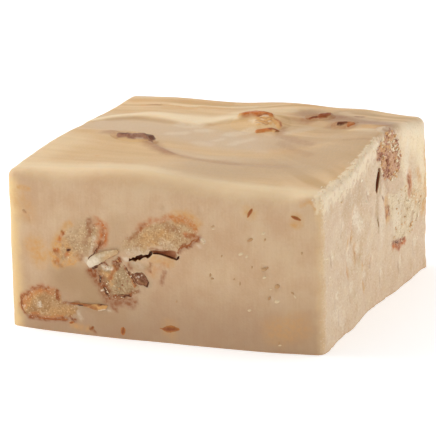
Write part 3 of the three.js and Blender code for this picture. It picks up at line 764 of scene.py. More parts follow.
            ([(-30, 27), (-10, 30), (8, 31)], 2.0, 0.35), ([(5, 29), (16, 30)], 1.6, 0.3),
            ([(-19.5, -18.8)], 0.9, 0.5), ([(-27, 23.2), (-22, 24.0), (-16, 23.4)], 0.9, 0.6),
            ([(-20, 27.6), (-4, 29.2)], 0.7, 0.5), ([(12, 0), (20, -6), (31, -13)], 3.0, 0.25),
            ([(24, 6.4), (31, 2)], 2.5, 0.3), ([(26, 13.5), (30, 11)], 1.2, 0.5)],
        # pale: pale streaks in the basin, partly painted wet sheen
        "pale": [
            ([(-13.8, 11.4), (-11.6, 11.0), (-9.4, 11.8)], 1.8, 0.35),
            ([(-13.4, 5.0), (-10.6, 6.6)], 1.6, 0.3), ([(-1.4, 8.6), (0.4, 9.8), (1.6, 11.2)], 2.2, 0.35),
            ([(1.4, 2.6), (4.0, 6.2)], 1.8, 0.28), ([(-3.1, 3.5), (-2, 5)], 1.2, 0.25),
            ([(10, 12), (13, 15)], 2.2, 0.2), ([(-8.6, 9.0), (-6.4, 9.6)], 1.6, 0.3),
            ([(-6, 1.5), (-3, 1)], 2.0, 0.2)],
        # brown: the strokes from (-14.6, -3.0) to (18, -13.5) are painted shade behind the front fold's crest
        "brown": [
            ([(-23.8, -1.2), (-21.0, -2.6)], 2.6, 0.4),
            ([(-14.6, -3.0), (-13.0, -5.6), (-10.0, -8.6), (-6, -11)], 2.8, 0.55),
            ([(-6, -11), (0, -13), (8, -14)], 3.4, 0.3), ([(8, -14), (18, -13.5)], 3.4, 0.15),
            ([(-25.6, 23.6), (-23.2, 23.9)], 0.6, 0.5), ([(9, 9.4), (13, 6.6), (18, 3.0)], 2.0, 0.3),
            ([(11, 4.6), (15, 0.6), (20.6, -4.8)], 1.6, 0.2), ([(25.4, 3.1), (31, 2.0)], 0.9, 0.2),
            ([(11.4, 20.4), (14.6, 22.0), (17, 23)], 3.0, 0.5), ([(20.0, 24.6), (21.4, 24.8)], 0.9, 0.7),
            ([(18.5, 17), (22.5, 15.6)], 3.0, 0.5), ([(24.4, 19.5), (27, 17), (31, 12.8)], 2.4, 0.45),
            ([(10, 23), (18, 22), (26, 18)], 5.0, 0.32), ([(7.6, 14.5), (8.4, 11)], 1.6, 0.4)],
        # These two strokes are painted shade, darker over the right half of the top, away from the light
        "film_and_shade": [([(6, -20), (20, -12), (30, 0)], 13.0, 0.85), ([(12, 4), (26, 6)], 6.0, 0.7)],
    },
    "back": {
        "grey": [([(2, 16), (12, 17)], 4.0, 0.6), ([(-20, 14), (-10, 15)], 4.0, 0.5)],
        "amber": [([(-30, 20), (-26, 8)], 3.0, 0.4), ([(24, 24)], 3.0, 0.4), ([(3, 8), (14, 9)], 1.5, 0.5)],
        "brown": [
            ([(1.4, 9.0), (4.0, 11.6), (8.5, 14.0), (13.5, 13.8)], 0.9, 0.8),
            ([(15.4, 11.0), (13.0, 7.6)], 0.7, 0.9), ([(9.0, 6.6), (4.5, 6.8)], 0.6, 0.9),
            ([(-22.4, 23.4), (-19.5, 25), (-15.6, 22.8)], 0.8, 0.8),
            ([(-18.6, 18.4), (-14.5, 17.2), (-11.4, 18.6)], 0.7, 0.9), ([(17, 12), (20, 13)], 0.6, 0.5)],
        "pale": [([(8, 10), (9, 11)], 0.5, 0.7), ([(-17, 21)], 0.6, 0.7)],
    },
    "left": {
        "grey": [([(-8, 9), (2, 11)], 4.0, 0.6), ([(8, 20)], 4.0, 0.4)],
        "amber": [([(24, 24), (26, 8)], 3.0, 0.4), ([(-9, 13), (-3, 16)], 1.5, 0.5)],
        "brown": [
            ([(-12.0, 11.4), (-11.2, 14.2), (-7.5, 16.4), (-3.8, 19.4)], 0.9, 0.8),
            ([(1.2, 18.6), (1.0, 15.8)], 0.7, 0.9), ([(-2.2, 12.6), (-7.2, 11.2)], 0.6, 0.9),
            ([(2.5, 17), (5, 18)], 0.6, 0.5)],
        "pale": [([(-5, 15), (-4, 16)], 0.5, 0.7)],
    },
}
# Streaks of the top: where those on the right fan out from, and, from none to full, where they take over from
# the level ones and where along Y they are strong
FAN_MIDDLE = (-14.0, 22.0)
FAN_SHARE = (4.0, 16.0)
STRONG_STREAKS = (18.0, 24.0)
# Tints in the order they lie on one another
TINT_LAYERS = ("glow", "grey_tan", "grey", "cream", "amber", "orange", "film_and_shade", "brown", "pale", "dark")


def stroke_amount(places, strokes):
    total = np.zeros(len(places))
    for path, half_width, strength in strokes:
        away = distance_to_path(places, path)
        total = np.maximum(total, strength * (1 - smooth_step(away, 0.2 * half_width, 1.1 * half_width)))
    return total


def wobbled(places, size, reach, seed):
    """Places moved about a little, so that strokes get uneven edges."""
    points = flat_points(*places.T)
    return places + reach * np.stack([cloud(points, size, seed), cloud(points, size, seed + 1)], axis=1)


def paint_marks(piece, marked_places, cream=0.0):
    """Keeps every tint's strength, from strokes by tint, the places that they mark, how far they count and
    how far their edges wander."""
    count = len(piece.data.vertices)
    amounts = {layer: np.zeros(count) for layer in TINT_LAYERS}
    amounts["cream"] += cream
    for marks, places, share, wander in marked_places:
        moved = wobbled(places, 1.6, 0.35 * wander, SEED["stroke_edges"])
        moved = wobbled(moved, 0.6, 0.18 * wander, SEED["stroke_edges"] + 2)
        for layer, strokes in marks.items():
            amounts[layer] = np.maximum(amounts[layer], share * stroke_amount(moved, strokes))
    for layer, amount in amounts.items():
        paint(piece, layer, amount)


def paint_splits(piece):
    """Keeps the painted shade of each point inside a split, and how reddish it is on the front."""
    points = points_of(piece)
    split_shade = np.zeros(len(points))
    near = np.zeros(len(points))
    for side, _, dark_at, outline in SPLITS.values():
        places = side_places(side, points)
        reach = SPLIT_REACH[side]
        inside = inside_depth(places, straight_ring(outline, SPLIT_SPACING))
        close = smooth_step(inside, -reach, -0.25 * reach)
        behind = side_reach(side, *places.T) - np.abs(points[:, 1 if side == "front" else 0])
        split_shade = np.maximum(split_shade, close * smooth_step(behind, 0.2 * dark_at, dark_at))
        if side == "front":
            tan = 1 - 0.3 * smooth_step(places[:, 0], 0.5, 3.0)
            near = np.maximum(near, tan * close * smooth_step(behind, 0.05, 0.4))
            split_shade = np.maximum(split_shade, near * stroke_amount(places, GROOVE_EDGE_SHADE))
    paint(piece, "split_shade", split_shade)
    paint(piece, "split", near)


# The white of the broken right rim, from none to full: below the top, in from the right and along Y
WHITE_BELOW = (6.0, 0.6)
WHITE_IN = (2.8, 0.8)
WHITE_ALONG = (6, 2)
# How strong the cream on the back fold is, partly painted highlight, and where along X it comes up
RIDGE_CREAM_AND_HIGHLIGHT = 0.75
CREAM_ALONG = (9, -3)
# How crumbly each cut side is, and how high up painted shade reaches from the foot, from none to full
CRUMBLY = {"front": 0.0, "right": 1.0, "back": 0.4, "left": 0.4}
FOOT_SHADE_UP = (16.0, 2.0)


def rim_whiteness(points):
    """How near the broken right rim points lie, from 0 to 1."""
    x, y, z = points.T
    below = HEIGHT + top_relief(x, y) - z
    near = smooth_step(below, *WHITE_BELOW) * smooth_step(WIDTH / 2 - x, *WHITE_IN)
    return near * smooth_step(y, *WHITE_ALONG)


def ridge_cream_and_highlight(points):
    """How strong the cream behind the crest of the back fold is, partly painted highlight, from 0 to 1."""
    x, y = points[:, :2].T
    behind = y - line_through(BACK_FOLD["crest"], x)
    width = line_through(BACK_FOLD["cream"], x)
    crest = smooth_step(behind, -0.9, 0.1) * (1 - smooth_step(behind, 0.4 * width, width))
    return RIDGE_CREAM_AND_HIGHLIGHT * crest * smooth_step(x, *CREAM_ALONG)


def foot_shading(points):
    """How near the foot of the slab points lie, from 0 to 1, for the painted shade there."""
    return smooth_step(points[:, 2], *FOOT_SHADE_UP)


def pit_shade_and_light(side):
    """Painted shade on a side's pits' left edges and painted light on their floors, as strokes by tint."""
    edges, floors = [], []
    for along, up, reach, _ in PITS[side]:
        tall = reach * PIT_STRETCH[side]
        left, right = along - 0.4 * reach, along + 0.5 * reach
        edges.append(([(left, up - tall), (left, up + 0.6 * tall)], 0.25 * reach + 0.2, PIT_SHADING[side]))
        floors.append(([(right, up), (right, up + 0.6 * tall)], 0.7 * reach, 1.4 * PIT_SHADING[side]))
    return {"brown": edges, "pale": floors}


def paint_fudge(fudge):
    """Keeps the tints, the splits and every other layer that the fudge's finish reads."""
    points = points_of(fudge)
    ways = towards(facing_of(fudge))
    seen = {side: (side_places(side, points), np.sqrt(way), 1.0) for side, way in ways.items()}
    marked = [(marks, *seen[side]) for side, marks in MARKS.items()]
    marked += [(pit_shade_and_light(side), *seen[side]) for side in PITS]
    paint_marks(fudge, marked, ways["top"] * ridge_cream_and_highlight(points))
    paint_splits(fudge)
    paint(fudge, "cut", 1 - ways["top"])
    paint(fudge, "crumbly", sum(CRUMBLY[side] * ways[side] for side in CRUMBLY))
    paint(fudge, "whitened", rim_whiteness(points))
    paint(fudge, "streak", top_streaks(points))
    paint(fudge, "foot_shade", (1 - ways["top"]) * foot_shading(points))


def top_streaks(points):
    """Streaks of the poured skin: level on the left, and fanned out on the right."""
    x, y = points[:, :2].T
    level = cloud(points, (16.0, 1.3, 6.0), SEED["level_streaks"])
    level += 0.6 * cloud(points, (9.0, 0.6, 6.0), SEED["level_streaks"] + 1)
    turn = np.degrees(np.arctan2(y - FAN_MIDDLE[1], x - FAN_MIDDLE[0]))
    away = np.hypot(y - FAN_MIDDLE[1], x - FAN_MIDDLE[0])
    fan = cloud(flat_points(turn, away), (2.6, 18.0, 1.0), SEED["fanned_streaks"])
    fan += 0.6 * cloud(flat_points(turn, away), (1.2, 11.0, 1.0), SEED["fanned_streaks"] + 1)
    share = smooth_step(x + 0.5 * y, *FAN_SHARE)
    strength = 0.15 + 0.4 * np.maximum(share, smooth_step(y, *STRONG_STREAKS))
    return 0.5 + strength * (level * (1 - share) + fan * share)


def make_fudge():
    fudge = subdivided_box()
    shape_slab(fudge)
    cut_splits(fudge)
    choose(fudge)
    bpy.ops.object.shade_smooth_by_angle(angle=FUDGE_CREASE)
    paint_fudge(fudge)
    return fudge


# How a kernel lies in its side: how much wider than it shows, how high its lumps stand, how large they are,
# how far it is clear of the side and tucked in at its edge, and how it narrows inwards, as (depth, share)
KERNEL_MARGIN = 0.6
KERNEL_GRAIN = {"walnut_right_upper": 0.5, "walnut_right_lower": 0.25, "walnut_front_core": 0.35}
PLAIN_GRAIN = 0.2
KERNEL_LUMPS = (1.3, 0.6, 0.35)
KERNEL_CLEAR = 0.03
KERNEL_TUCK = 0.11
KERNEL_DEPTH = [(1.6, 0.95), (2.4, 0.65)]


def split_distance(side, places):
    """How far places on a side are from its nearest split."""
    away = np.full(len(places), HEIGHT)
    for split_side, *_, outline in SPLITS.values():
        if split_side == side:
            away = np.minimum(away, -inside_depth(places, straight_ring(outline, SPLIT_SPACING)))
    return away


def widened(ring, margin):
    """A ring moved outward by a margin at each of its points."""
    run = np.roll(ring, -1, 0) - np.roll(ring, 1, 0)
    run /= np.linalg.norm(run, axis=1, keepdims=True)
    outward = np.stack([run[:, 1], -run[:, 0]], axis=1)
    wider = ring + margin * outward
    away = np.linalg.norm(wider - ring.mean(axis=0), axis=1).mean()
    if away < np.linalg.norm(ring - ring.mean(axis=0), axis=1).mean():
        return ring - margin * outward
    return wider


def cut_kernel(node, side, outline):
    """A kernel that the knife went through: its section lies in the side, and the rest is in the fudge."""
    ring = smooth_ring(outline, KERNEL_SPACING)
    margin = KERNEL_MARGIN * smooth_step(split_distance(side, ring), 0.3, 1.2)
    piece = outline_prism(node + "_cut", widened(ring, margin[:, None]), KERNEL_DEPTH)
    apply_modifier(piece, "REMESH", mode="VOXEL", voxel_size=KERNEL_VOXEL * MM)
    apply_modifier(piece, "SMOOTH", iterations=2)
    points = points_of(piece)
    places = points[:, :2].copy()
    inside = inside_depth(places, ring)
    relief = crumble(flat_points(*places.T), KERNEL_LUMPS, SEED["kernel"])
    nut = smooth_step(inside, 0.5, 1.5)
    level = KERNEL_CLEAR - KERNEL_TUCK * (1 - smooth_step(inside, -0.6, 0.1))
    level += nut * KERNEL_GRAIN.get(node, PLAIN_GRAIN) * relief + (1 - nut) * side_texture(side, places)
    section = smooth_step(points[:, 2], -0.6, -0.15)
    move_points(piece, on_side(side, *places.T, section * level + (1 - section) * points[:, 2]))
    paint_marks(piece, [(MARKS[side], places, np.ones(len(places)), 1.0)])
    paint(piece, "rim", inside)
    paint(piece, "relief", relief)
    paint(piece, "cut", np.ones(len(places)))
    paint(piece, "crumbly", np.full(len(places), CRUMBLY[side]))
    paint(piece, "foot_shade", foot_shading(points_of(piece)))
    return piece


# Thin pieces on the front: thickness, how far they stand out at their left and right ends, the ridge along
# them with its half width and rise, how clean their edges are, and their marks
THIN_PIECES = {
    "walnut_shaving": (0.9, 0.9, 0.3, ([(-15.2, 15.8), (-12.6, 17.0), (-9.2, 17.9)], 1.8, 0.4), 2.0, {
        # pale: the shaving's pale cut end, partly painted light on that face
        "pale": [([(-15.4, 15.0), (-13.8, 15.7)], 1.4, 0.9), ([(-13.6, 16.4), (-12.0, 16.9)], 0.5, 0.4)],
        "amber": [([(-11.6, 16.4), (-9.2, 17.8)], 0.8, 0.3)],
        # brown: painted shadow along the shaving's left end and lower edge
        "brown": [
            ([(-15.6, 14.6), (-14.9, 14.1), (-13.8, 14.5), (-12.6, 15.0), (-11, 16)], 0.25, 0.6),
            ([(-10.8, 16.3), (-9.4, 17.1)], 0.35, 0.5), ([(-15.5, 15.8), (-14.8, 16.4)], 0.2, 0.6)]}),
    "walnut_skin_curl": (0.9, -0.05, 0.12, ([(-6.2, 13.2), (-3.2, 11.8)], 1.0, 0.2), 0.65, {
        "dark": [
            ([(-6.4, 13.7), (-5.4, 13.7), (-4.6, 13.5)], 0.35, 0.45),
            ([(-6.2, 12.6), (-5.4, 11.8)], 0.4, 0.45), ([(-4.6, 12.6), (-3.6, 12.0)], 0.3, 0.4),
            ([(-2.9, 12.0), (-3.1, 11.0), (-3.8, 11.3)], 0.35, 0.6)],
        "amber": [([(-5.9, 13.0), (-4.4, 12.2), (-3.4, 11.8)], 0.4, 0.15)],
        # pale: painted glints on the curl
        "pale": [
            ([(-4.9, 13.1), (-4.7, 13.0)], 0.2, 1.0), ([(-5.3, 12.8)], 0.18, 0.8),
            ([(-4.2, 13.4)], 0.18, 0.9), ([(-5.0, 12.4)], 0.15, 0.6), ([(-5.8, 13.2)], 0.15, 0.7)]}),
    "walnut_skin_strip": (0.7, 0.1, 0.2, ([(-20.5, 6.2), (-15.0, 6.3), (-11.4, 6.8)], 0.6, 0.15), 0.6, {
        "brown": [
            ([(-20, 6.3), (-17.4, 6.2), (-15.2, 6.4)], 0.4, 0.8), ([(-15.2, 5.9), (-14.0, 5.8)], 0.6, 0.7),
            ([(-13.4, 6.6), (-11.8, 7.0)], 0.3, 0.8)],
        "dark": [([(-17.8, 6.1), (-17.0, 6.1)], 0.25, 0.8), ([(-13.0, 6.7), (-12.4, 6.8)], 0.2, 0.6)],
        "amber": [([(-15.4, 5.8), (-12.2, 6.2)], 0.8, 0.9)],
        "pale": [([(-13.4, 5.3), (-12.2, 5.6)], 0.3, 0.8)]}),
}
# How high the lumps of thin pieces stand
THIN_GRAIN = 0.22


def thin_piece(node, side, outline):
    """A shaving or a bit of skin that stands a little off its side."""
    thick, left_out, right_out, (ridge, half_width, rise), clean, marks = THIN_PIECES[node]
    ring = straight_ring(outline, THIN_SPACING)
    piece = outline_prism(node + "_thin", ring, [(thick, 0.95)])
    apply_modifier(piece, "REMESH", mode="VOXEL", voxel_size=THIN_VOXEL * MM)
    apply_modifier(piece, "SMOOTH", iterations=1)
    points = points_of(piece)
    places = points[:, :2].copy()
    lift = np.interp(places[:, 0], [ring[:, 0].min(), ring[:, 0].max()], [left_out, right_out])
    roof = rise * np.maximum(1 - distance_to_path(places, ridge) / half_width, 0)
    relief = crumble(points, (1.2, 0.5), SEED["thin_piece"])
    move_points(piece, on_side(side, *places.T, points[:, 2] + lift + roof + THIN_GRAIN * relief))
    paint_marks(piece, [(marks, places, np.ones(len(places)), 0.5)])
    paint(piece, "rim", inside_depth(places, ring) + clean)
    paint(piece, "relief", relief)
    return piece


# Kernels that lie under the top skin: the middle and half widths of their dome and its height, then, in
# places seen from the front around an origin (x, y, height over the skin), where they are bare, their ridges
# and their marks
TOP_KERNELS = {
    "walnut_top_middle": {
        "middle": (2.2, 16.4), "radii": (7.4, 6.6), "height": 0.8, "origin": (2.4, 15.6, 1.0),
        "bare": [
            ([(-4.1, 1.15), (-3.2, 1.3)], 0.5, 1.0), ([(-3.0, 1.4), (-1.6, 1.55), (-0.2, 1.5)], 0.8, 1.0),
            ([(-0.2, 1.5), (1.2, 1.3), (2.3, 0.95)], 0.65, 1.0),
            ([(-0.4, -0.2), (0.8, 0.0), (1.8, -0.2)], 1.4, 1.0),
            ([(2.6, 0.2), (3.6, -0.6), (3.9, -1.3)], 0.8, 0.9),
            ([(-0.7, -2.35), (0.8, -2.1), (2.3, -2.05), (3.6, -2.6)], 0.6, 1.0)],
        "ridges": [
            ([(-4.0, 1.15), (-2.6, 1.5), (-0.8, 1.55), (0.8, 1.4), (2.4, 0.95)], 0.7, 0.6),
            ([(-0.2, -0.3), (0.9, -0.1), (1.8, -0.3)], 1.5, 0.35),
            ([(-0.1, 0.5), (0.8, 0.7), (1.7, 0.58), (2.3, 0.2)], 0.3, 0.2),
            ([(-0.8, 0.05), (0.1, 0.2), (0.9, -0.05), (1.5, 0.2), (2.2, 0.0)], 0.22, 0.16),
            ([(-1.1, -0.4), (-0.1, -0.38), (0.6, -0.6), (1.15, -0.95), (1.6, -0.5), (2.2, -0.4)], 0.22, 0.16),
            ([(-0.9, -0.85), (0.0, -0.9), (0.8, -1.15), (1.4, -1.35)], 0.25, 0.16),
            ([(2.9, 0.1), (3.7, -0.6), (3.8, -1.2)], 0.6, 0.25),
            ([(-0.7, -2.35), (0.8, -2.1), (2.3, -2.05), (3.6, -2.6)], 0.5, 0.4)],
        "marks": {
            "cream": [([(-1.2, 0.0), (-0.6, -0.5)], 0.6, 0.4)],
            "amber": [
                ([(-4.2, 1.15), (-3.4, 1.3)], 0.5, 0.9), ([(0.4, 0.2), (1.8, 0.0)], 1.2, 0.45),
                ([(2.9, 0.1), (3.7, -0.7)], 0.9, 0.6)],
            "orange": [
                ([(-3.2, 1.4), (-1.6, 1.55), (-0.2, 1.5)], 0.8, 1.0),
                ([(-0.2, 1.5), (1.2, 1.3), (2.4, 0.95)], 0.65, 0.95),
                ([(3.3, 0.2), (4.1, -0.4), (4.2, -1.2)], 0.4, 0.6),
                ([(-0.7, -2.35), (0.8, -2.1), (2.3, -2.05)], 0.55, 0.85)],
            "brown": [
                ([(0.4, 1.75), (1.6, 1.45), (2.5, 1.0)], 0.3, 0.5),
                ([(-0.5, 1.0), (0.6, 0.95), (1.6, 0.9)], 0.2, 0.8),
                ([(-0.6, 0.3), (0.3, 0.42), (1.0, 0.2), (1.6, 0.4), (2.3, 0.15)], 0.14, 0.7),
                ([(-1.0, -0.18), (0.0, -0.12), (0.7, -0.35), (1.25, -0.65), (1.7, -0.2), (2.3, -0.15)],
                 0.14, 0.75),
                ([(-0.9, -0.62), (0.0, -0.65), (0.7, -0.88), (1.2, -1.2), (1.7, -0.85)], 0.14, 0.6),
                ([(2.9, 0.2), (3.6, 0.15)], 0.2, 0.7), ([(4.1, -0.3), (4.3, -1.1)], 0.25, 0.6),
                ([(2.0, -2.0), (3.0, -2.2), (3.9, -2.75)], 0.4, 0.9)],
            # pale: the thin lines are painted highlights on the knob's ridges; the wide one at the left is
            # pale skin
            "pale": [
                ([(0.0, 0.62), (0.9, 0.78), (1.7, 0.62)], 0.16, 0.6),
                ([(-0.9, -0.75), (0.2, -0.8)], 0.18, 0.4), ([(0.2, 0.1), (0.8, 0.0)], 0.16, 0.4),
                ([(1.6, -0.6), (2.1, -0.5)], 0.16, 0.5), ([(-2.0, 0.2), (-1.2, 0.0)], 0.6, 0.3)]}},
    "walnut_top_left": {
        "middle": (-18.4, -2.0), "radii": (6.0, 4.6), "height": 0.5, "origin": (-18.2, -2.6, 0.0),
        "bare": [
            ([(-3.1, 0.45), (-2.0, 0.4), (-1.1, 0.3)], 0.85, 1.0),
            ([(-1.2, 0.3), (0.6, 0.05), (2.0, 0.0), (3.0, -0.15), (3.8, -0.3)], 1.0, 1.0),
            ([(3.4, -0.8), (3.6, -1.6), (4.2, -2.6)], 0.7, 0.9)],
        "ridges": [
            ([(-3.0, 0.6), (-1.2, 0.45)], 0.4, 0.2), ([(0.0, 0.3), (2.0, 0.25), (3.7, -0.1)], 0.5, 0.35)],
        "marks": {
            "brown": [
                ([(-3.1, 0.4), (-2.0, 0.35), (-1.1, 0.3)], 0.85, 0.35),
                ([(-0.2, 0.1), (2.0, 0.0)], 0.8, 0.15), ([(2.2, 0.0), (3.1, -0.2), (3.9, -0.4)], 0.85, 0.3),
                ([(3.3, -0.8), (3.5, -1.6), (4.2, -2.6), (5.0, -3.2)], 0.8, 0.5),
                ([(-3.6, 0.0), (-4.6, 0.2)], 0.9, 0.3)],
            "dark": [
                ([(-3.2, 0.9), (-2.2, 0.6), (-1.4, 0.7)], 0.45, 0.5),
                ([(-0.2, 0.7), (1.0, 0.62), (2.2, 0.55)], 0.2, 0.45),
                ([(2.3, 0.3), (3.0, 0.0), (3.9, -0.3)], 0.6, 0.5), ([(3.0, -0.9), (3.2, -1.6)], 0.25, 0.4)],
            # pale: the spots at (2.3, -1.1) and (4.5, -0.7) are painted highlights
            "pale": [
                ([(2.3, -1.1)], 0.3, 0.4), ([(4.5, -0.7)], 0.3, 0.4),
                ([(0.4, -0.3), (1.8, -0.4)], 0.2, 0.25)]}},
    "walnut_top_back_left": {
        "middle": (13.2, 22.4), "radii": (3.8, 3.8), "height": 0.5, "origin": (13.2, 22.6, 0.4),
        "bare": [
            ([(-2.4, -0.7), (-0.4, -0.3)], 0.45, 1.0), ([(-0.2, -0.3), (0.9, -0.25)], 0.9, 1.0),
            ([(0.9, -0.2), (1.8, 0.1)], 0.7, 1.0), ([(1.8, 0.1), (3.0, 0.5)], 0.4, 0.9)],
        "ridges": [([(0, -0.2), (2, 0)], 0.6, 0.3)],
        "marks": {
            "brown": [
                ([(-0.3, -0.2), (1.0, -0.3), (2.2, 0.0)], 0.75, 0.5),
                ([(-3.4, -1.0), (-1.9, -0.6), (-0.4, -0.2)], 0.35, 0.8),
                ([(-0.6, -0.9), (1.6, -0.9)], 0.6, 0.3)],
            "dark": [
                ([(1.6, 0.35), (2.6, 0.3)], 0.3, 0.45), ([(-1.9, -0.6), (-0.8, -0.25)], 0.22, 0.5),
                ([(-0.2, 0.9), (0.4, 0.75)], 0.2, 0.4)],
            # pale: a painted highlight along the kernel's top
            "pale": [([(-0.2, 0.4), (0.6, 0.35), (1.5, 0.45)], 0.18, 0.6)]}},
    "walnut_top_back_right": {
        "middle": (20.4, 17.2), "radii": (3.4, 3.6), "height": 0.5, "origin": (20.4, 18.4, 0.4),
        "bare": [
            ([(-1.7, -0.7), (-0.6, -0.6)], 0.6, 1.0), ([(-0.2, -0.3), (1.3, -0.45)], 0.35, 0.8),
            ([(0.1, -1.3), (1.1, -1.4)], 0.55, 0.9)],
        "ridges": [([(-1.6, -0.7), (1.2, -0.8)], 0.5, 0.3)],
        "marks": {
            "brown": [([(-0.5, -0.3), (1.4, -0.5)], 0.3, 0.8), ([(-1.9, -0.5), (-0.4, -0.4)], 0.6, 0.7)],
            "dark": [([(-1.8, -0.8), (-1.0, -0.75), (-0.3, -0.6)], 0.55, 0.6)],
            "orange": [([(0.2, -0.9), (1.3, -1.0)], 0.6, 0.7)]}},
}
# How far a top kernel is clear of the skin, is tucked under it at its edge and reaches down, and how high its
# lumps stand
TOP_CLEAR = 0.02
TOP_TUCK = 0.14
TOP_ROOT = 2.0
TOP_GRAIN = 0.12


def top_kernel(node):
    """A kernel under the top skin: a low dome that follows the skin, with ridges where it is bare."""
    kernel = TOP_KERNELS[node]
    bpy.ops.object.select_all(action="DESELECT")
    bpy.ops.mesh.primitive_ico_sphere_add(subdivisions=6, radius=MM)
    piece = new_piece(node + "_bare")
    ball = points_of(piece)
    out = np.minimum(np.hypot(ball[:, 0], ball[:, 1]), 1.0)
    ground = ball[:, :2] * kernel["radii"] + kernel["middle"]
    skin = HEIGHT + top_relief(*ground.T) + top_texture(ground)
    over = ball[:, 2] >= 0
    dome = kernel["height"] * (1 - out**2) ** 2 + TOP_CLEAR - TOP_TUCK * smooth_step(out, 0.75, 1.0)
    rise = np.where(over, dome, TOP_CLEAR - TOP_TUCK - TOP_ROOT * np.sqrt(1 - out**2))
    x, y, above = kernel["origin"]
    origin = np.array([x, y, HEIGHT + above + top_relief(np.array([x]), np.array([y]))[0]])
    points = np.column_stack([ground, skin + rise])
    places = np.stack([(points - origin) @ np.array(LEVEL), (points - origin) @ np.array(UPRIGHT)], axis=1)
    relief = crumble(points, (1.0, 0.5), SEED["top_kernel"])
    bare = over * stroke_amount(wobbled(places, 0.8, 0.08, SEED["bare_edges"]), kernel["bare"])
    points[:, 2] += over * sum(stroke_amount(places, [ridge]) for ridge in kernel["ridges"])
    points[:, 2] += TOP_GRAIN * bare * relief
    move_points(piece, points)
    marked = [(MARKS["top"], ground, over * (1 - bare), 1.0), (kernel["marks"], places, over, 0.3)]
    paint_marks(piece, marked, ridge_cream_and_highlight(points))
    paint(piece, "rim", 2.0 * bare - 0.6)
    paint(piece, "relief", relief)
    paint(piece, "streak", top_streaks(points))
    return piece


# Flakes of skin on the front, as (along, up, half length, half width, lean in degrees, tone): tone 0 is
# a pale grain, about 0.6 a tan pit, 1 orange skin and 2 dark skin
FLAKES = [
    (1.6, 2.9, 2.2, 0.8, 2, 1.4), (-8.3, 1.6, 1.1, 0.65, 82, 1.3), (18.5, 27.7, 1.2, 0.45, 62, 1.3),
    (27.9, 27.4, 1.2, 0.42, -20, 1.4), (24.0, 13.4, 0.60, 0.45, 30, 0.6), (-19.6, 2.2, 0.6, 0.3, 10, 1.2),
    (-15.0, 1.6, 0.5, 0.35, 40, 1.5), (18.5, 22.3, 0.68, 0.30, 24, 0.85), (21.6, 22.6, 0.38, 0.24, 60, 0.6),
    (18.9, 16.9, 0.38, 0.21, 80, 0.7), (21.3, 16.6, 0.60, 0.38, 10, 0.5), (22.0, 17.0, 0.30, 0.21, 60, 0.6),
    (22.4, 10.9, 0.48, 0.24, 60, 0.6), (27.1, 12.3, 0.48, 0.24, -40, 0.6), (27.6, 11.6, 0.45, 0.21, -50, 0.0),
    (22.7, 12.8, 0.30, 0.22, 0, 0.0), (21.4, 15.0, 0.45, 0.30, 30, 0.0), (24.0, 10.4, 0.60, 0.38, 20, 0.1),
    (10.2, 14.6, 0.42, 0.24, 70, 0.6), (10.6, 13.9, 0.38, 0.22, 0, 0.7), (15.2, 14.2, 0.30, 0.18, 30, 0.6),
    (16.4, 13.4, 0.52, 0.18, 85, 0.6), (24.3, 2.0, 0.45, 0.27, 60, 0.6), (24.5, 1.6, 0.45, 0.21, 10, 0.0),
    (3.1, 8.6, 0.45, 0.27, 70, 0.5), (16.6, 19.3, 0.60, 0.38, 20, 0.1), (17.8, 18.9, 0.45, 0.30, 50, 0.0),
    (21.2, 23.8, 0.52, 0.38, 40, 0.0), (10.8, 24.4, 0.45, 0.21, 20, 0.5), (10.9, 23.9, 0.38, 0.21, 10, 0.1),
    (-29.7, 24.2, 0.38, 0.30, 0, 0.8), (12.6, 18.6, 0.30, 0.18, 70, 0.6), (29.0, 20.4, 0.38, 0.22, 80, 0.5),
    (18.4, 8.2, 0.45, 0.30, 10, 0.0), (8.7, 21.5, 0.52, 0.30, -30, 0.0), (9.0, 20.9, 0.38, 0.22, 30, 0.0),
]
# Thin edges of skin on the front and two lines of painted shadow by the shaving, as (path, half width, tone)
THREADS = [
    # The first two lines are painted shadow, at the shaving's left end and under it
    ([(-15.65, 14.9), (-15.55, 15.8), (-14.95, 16.4), (-14.5, 16.7), (-14.1, 17.4), (-13.8, 18.1)],
     0.13, 2.0),
    ([(-15.6, 14.5), (-14.95, 13.98), (-13.9, 14.4), (-12.8, 14.95)], 0.15, 1.9),
    ([(-9.2, 8.9), (-8.2, 9.0), (-7.0, 8.85), (-6.3, 8.7)], 0.16, 1.8),
    ([(-7.5, 14.5), (-6.9, 13.2), (-5.6, 11.5)], 0.15, 1.8),
    ([(-29.6, 7.2), (-30.6, 5.9), (-30.95, 5.0), (-30.5, 3.6), (-29.5, 2.6)], 0.12, 1.3),
    ([(-28.6, 2.35), (-25.5, 2.4), (-22.6, 2.5), (-20.4, 2.8)], 0.2, 1.2),
    ([(8.0, 21.7), (6.6, 21.2), (6.0, 20.4), (5.0, 20.0), (3.8, 19.4), (3.5, 18.7)], 0.15, 1.3),
    ([(-12.6, 20.0), (-13.2, 18.8), (-13.6, 17.9), (-14.4, 16.9)], 0.13, 1.5),
    ([(-12.5, 10.2), (-12.0, 9.4), (-11.7, 8.5)], 0.2, 1.9),
]
# How far flakes stand out for their half width, how far thin edges do, how deep both reach in, and how far
# apart the points of their outlines lie
FLAKE_RISE = 0.35
THREAD_RISE = 0.12
SKIN_ROOT = 0.5
FLAKE_SPACING = 0.15
THREAD_SPACING = 0.12


def leaf_ring(along, up, half_length, half_width, lean):
    """Outline of a flake, pointed at both ends."""
    turn = math.radians(lean)
    run = np.array([math.cos(turn), math.sin(turn)])
    rise = np.array([-run[1], run[0]])
    leaf = [(-1.0, 0.0), (-0.5, 0.75), (0.2, 1.0), (0.75, 0.6), (1.0, 0.0), (0.6, -0.7), (-0.3, -0.9)]
    knots = [(along, up) + half_length * a * run + half_width * b * rise for a, b in leaf]
    return smooth_ring(knots, FLAKE_SPACING)


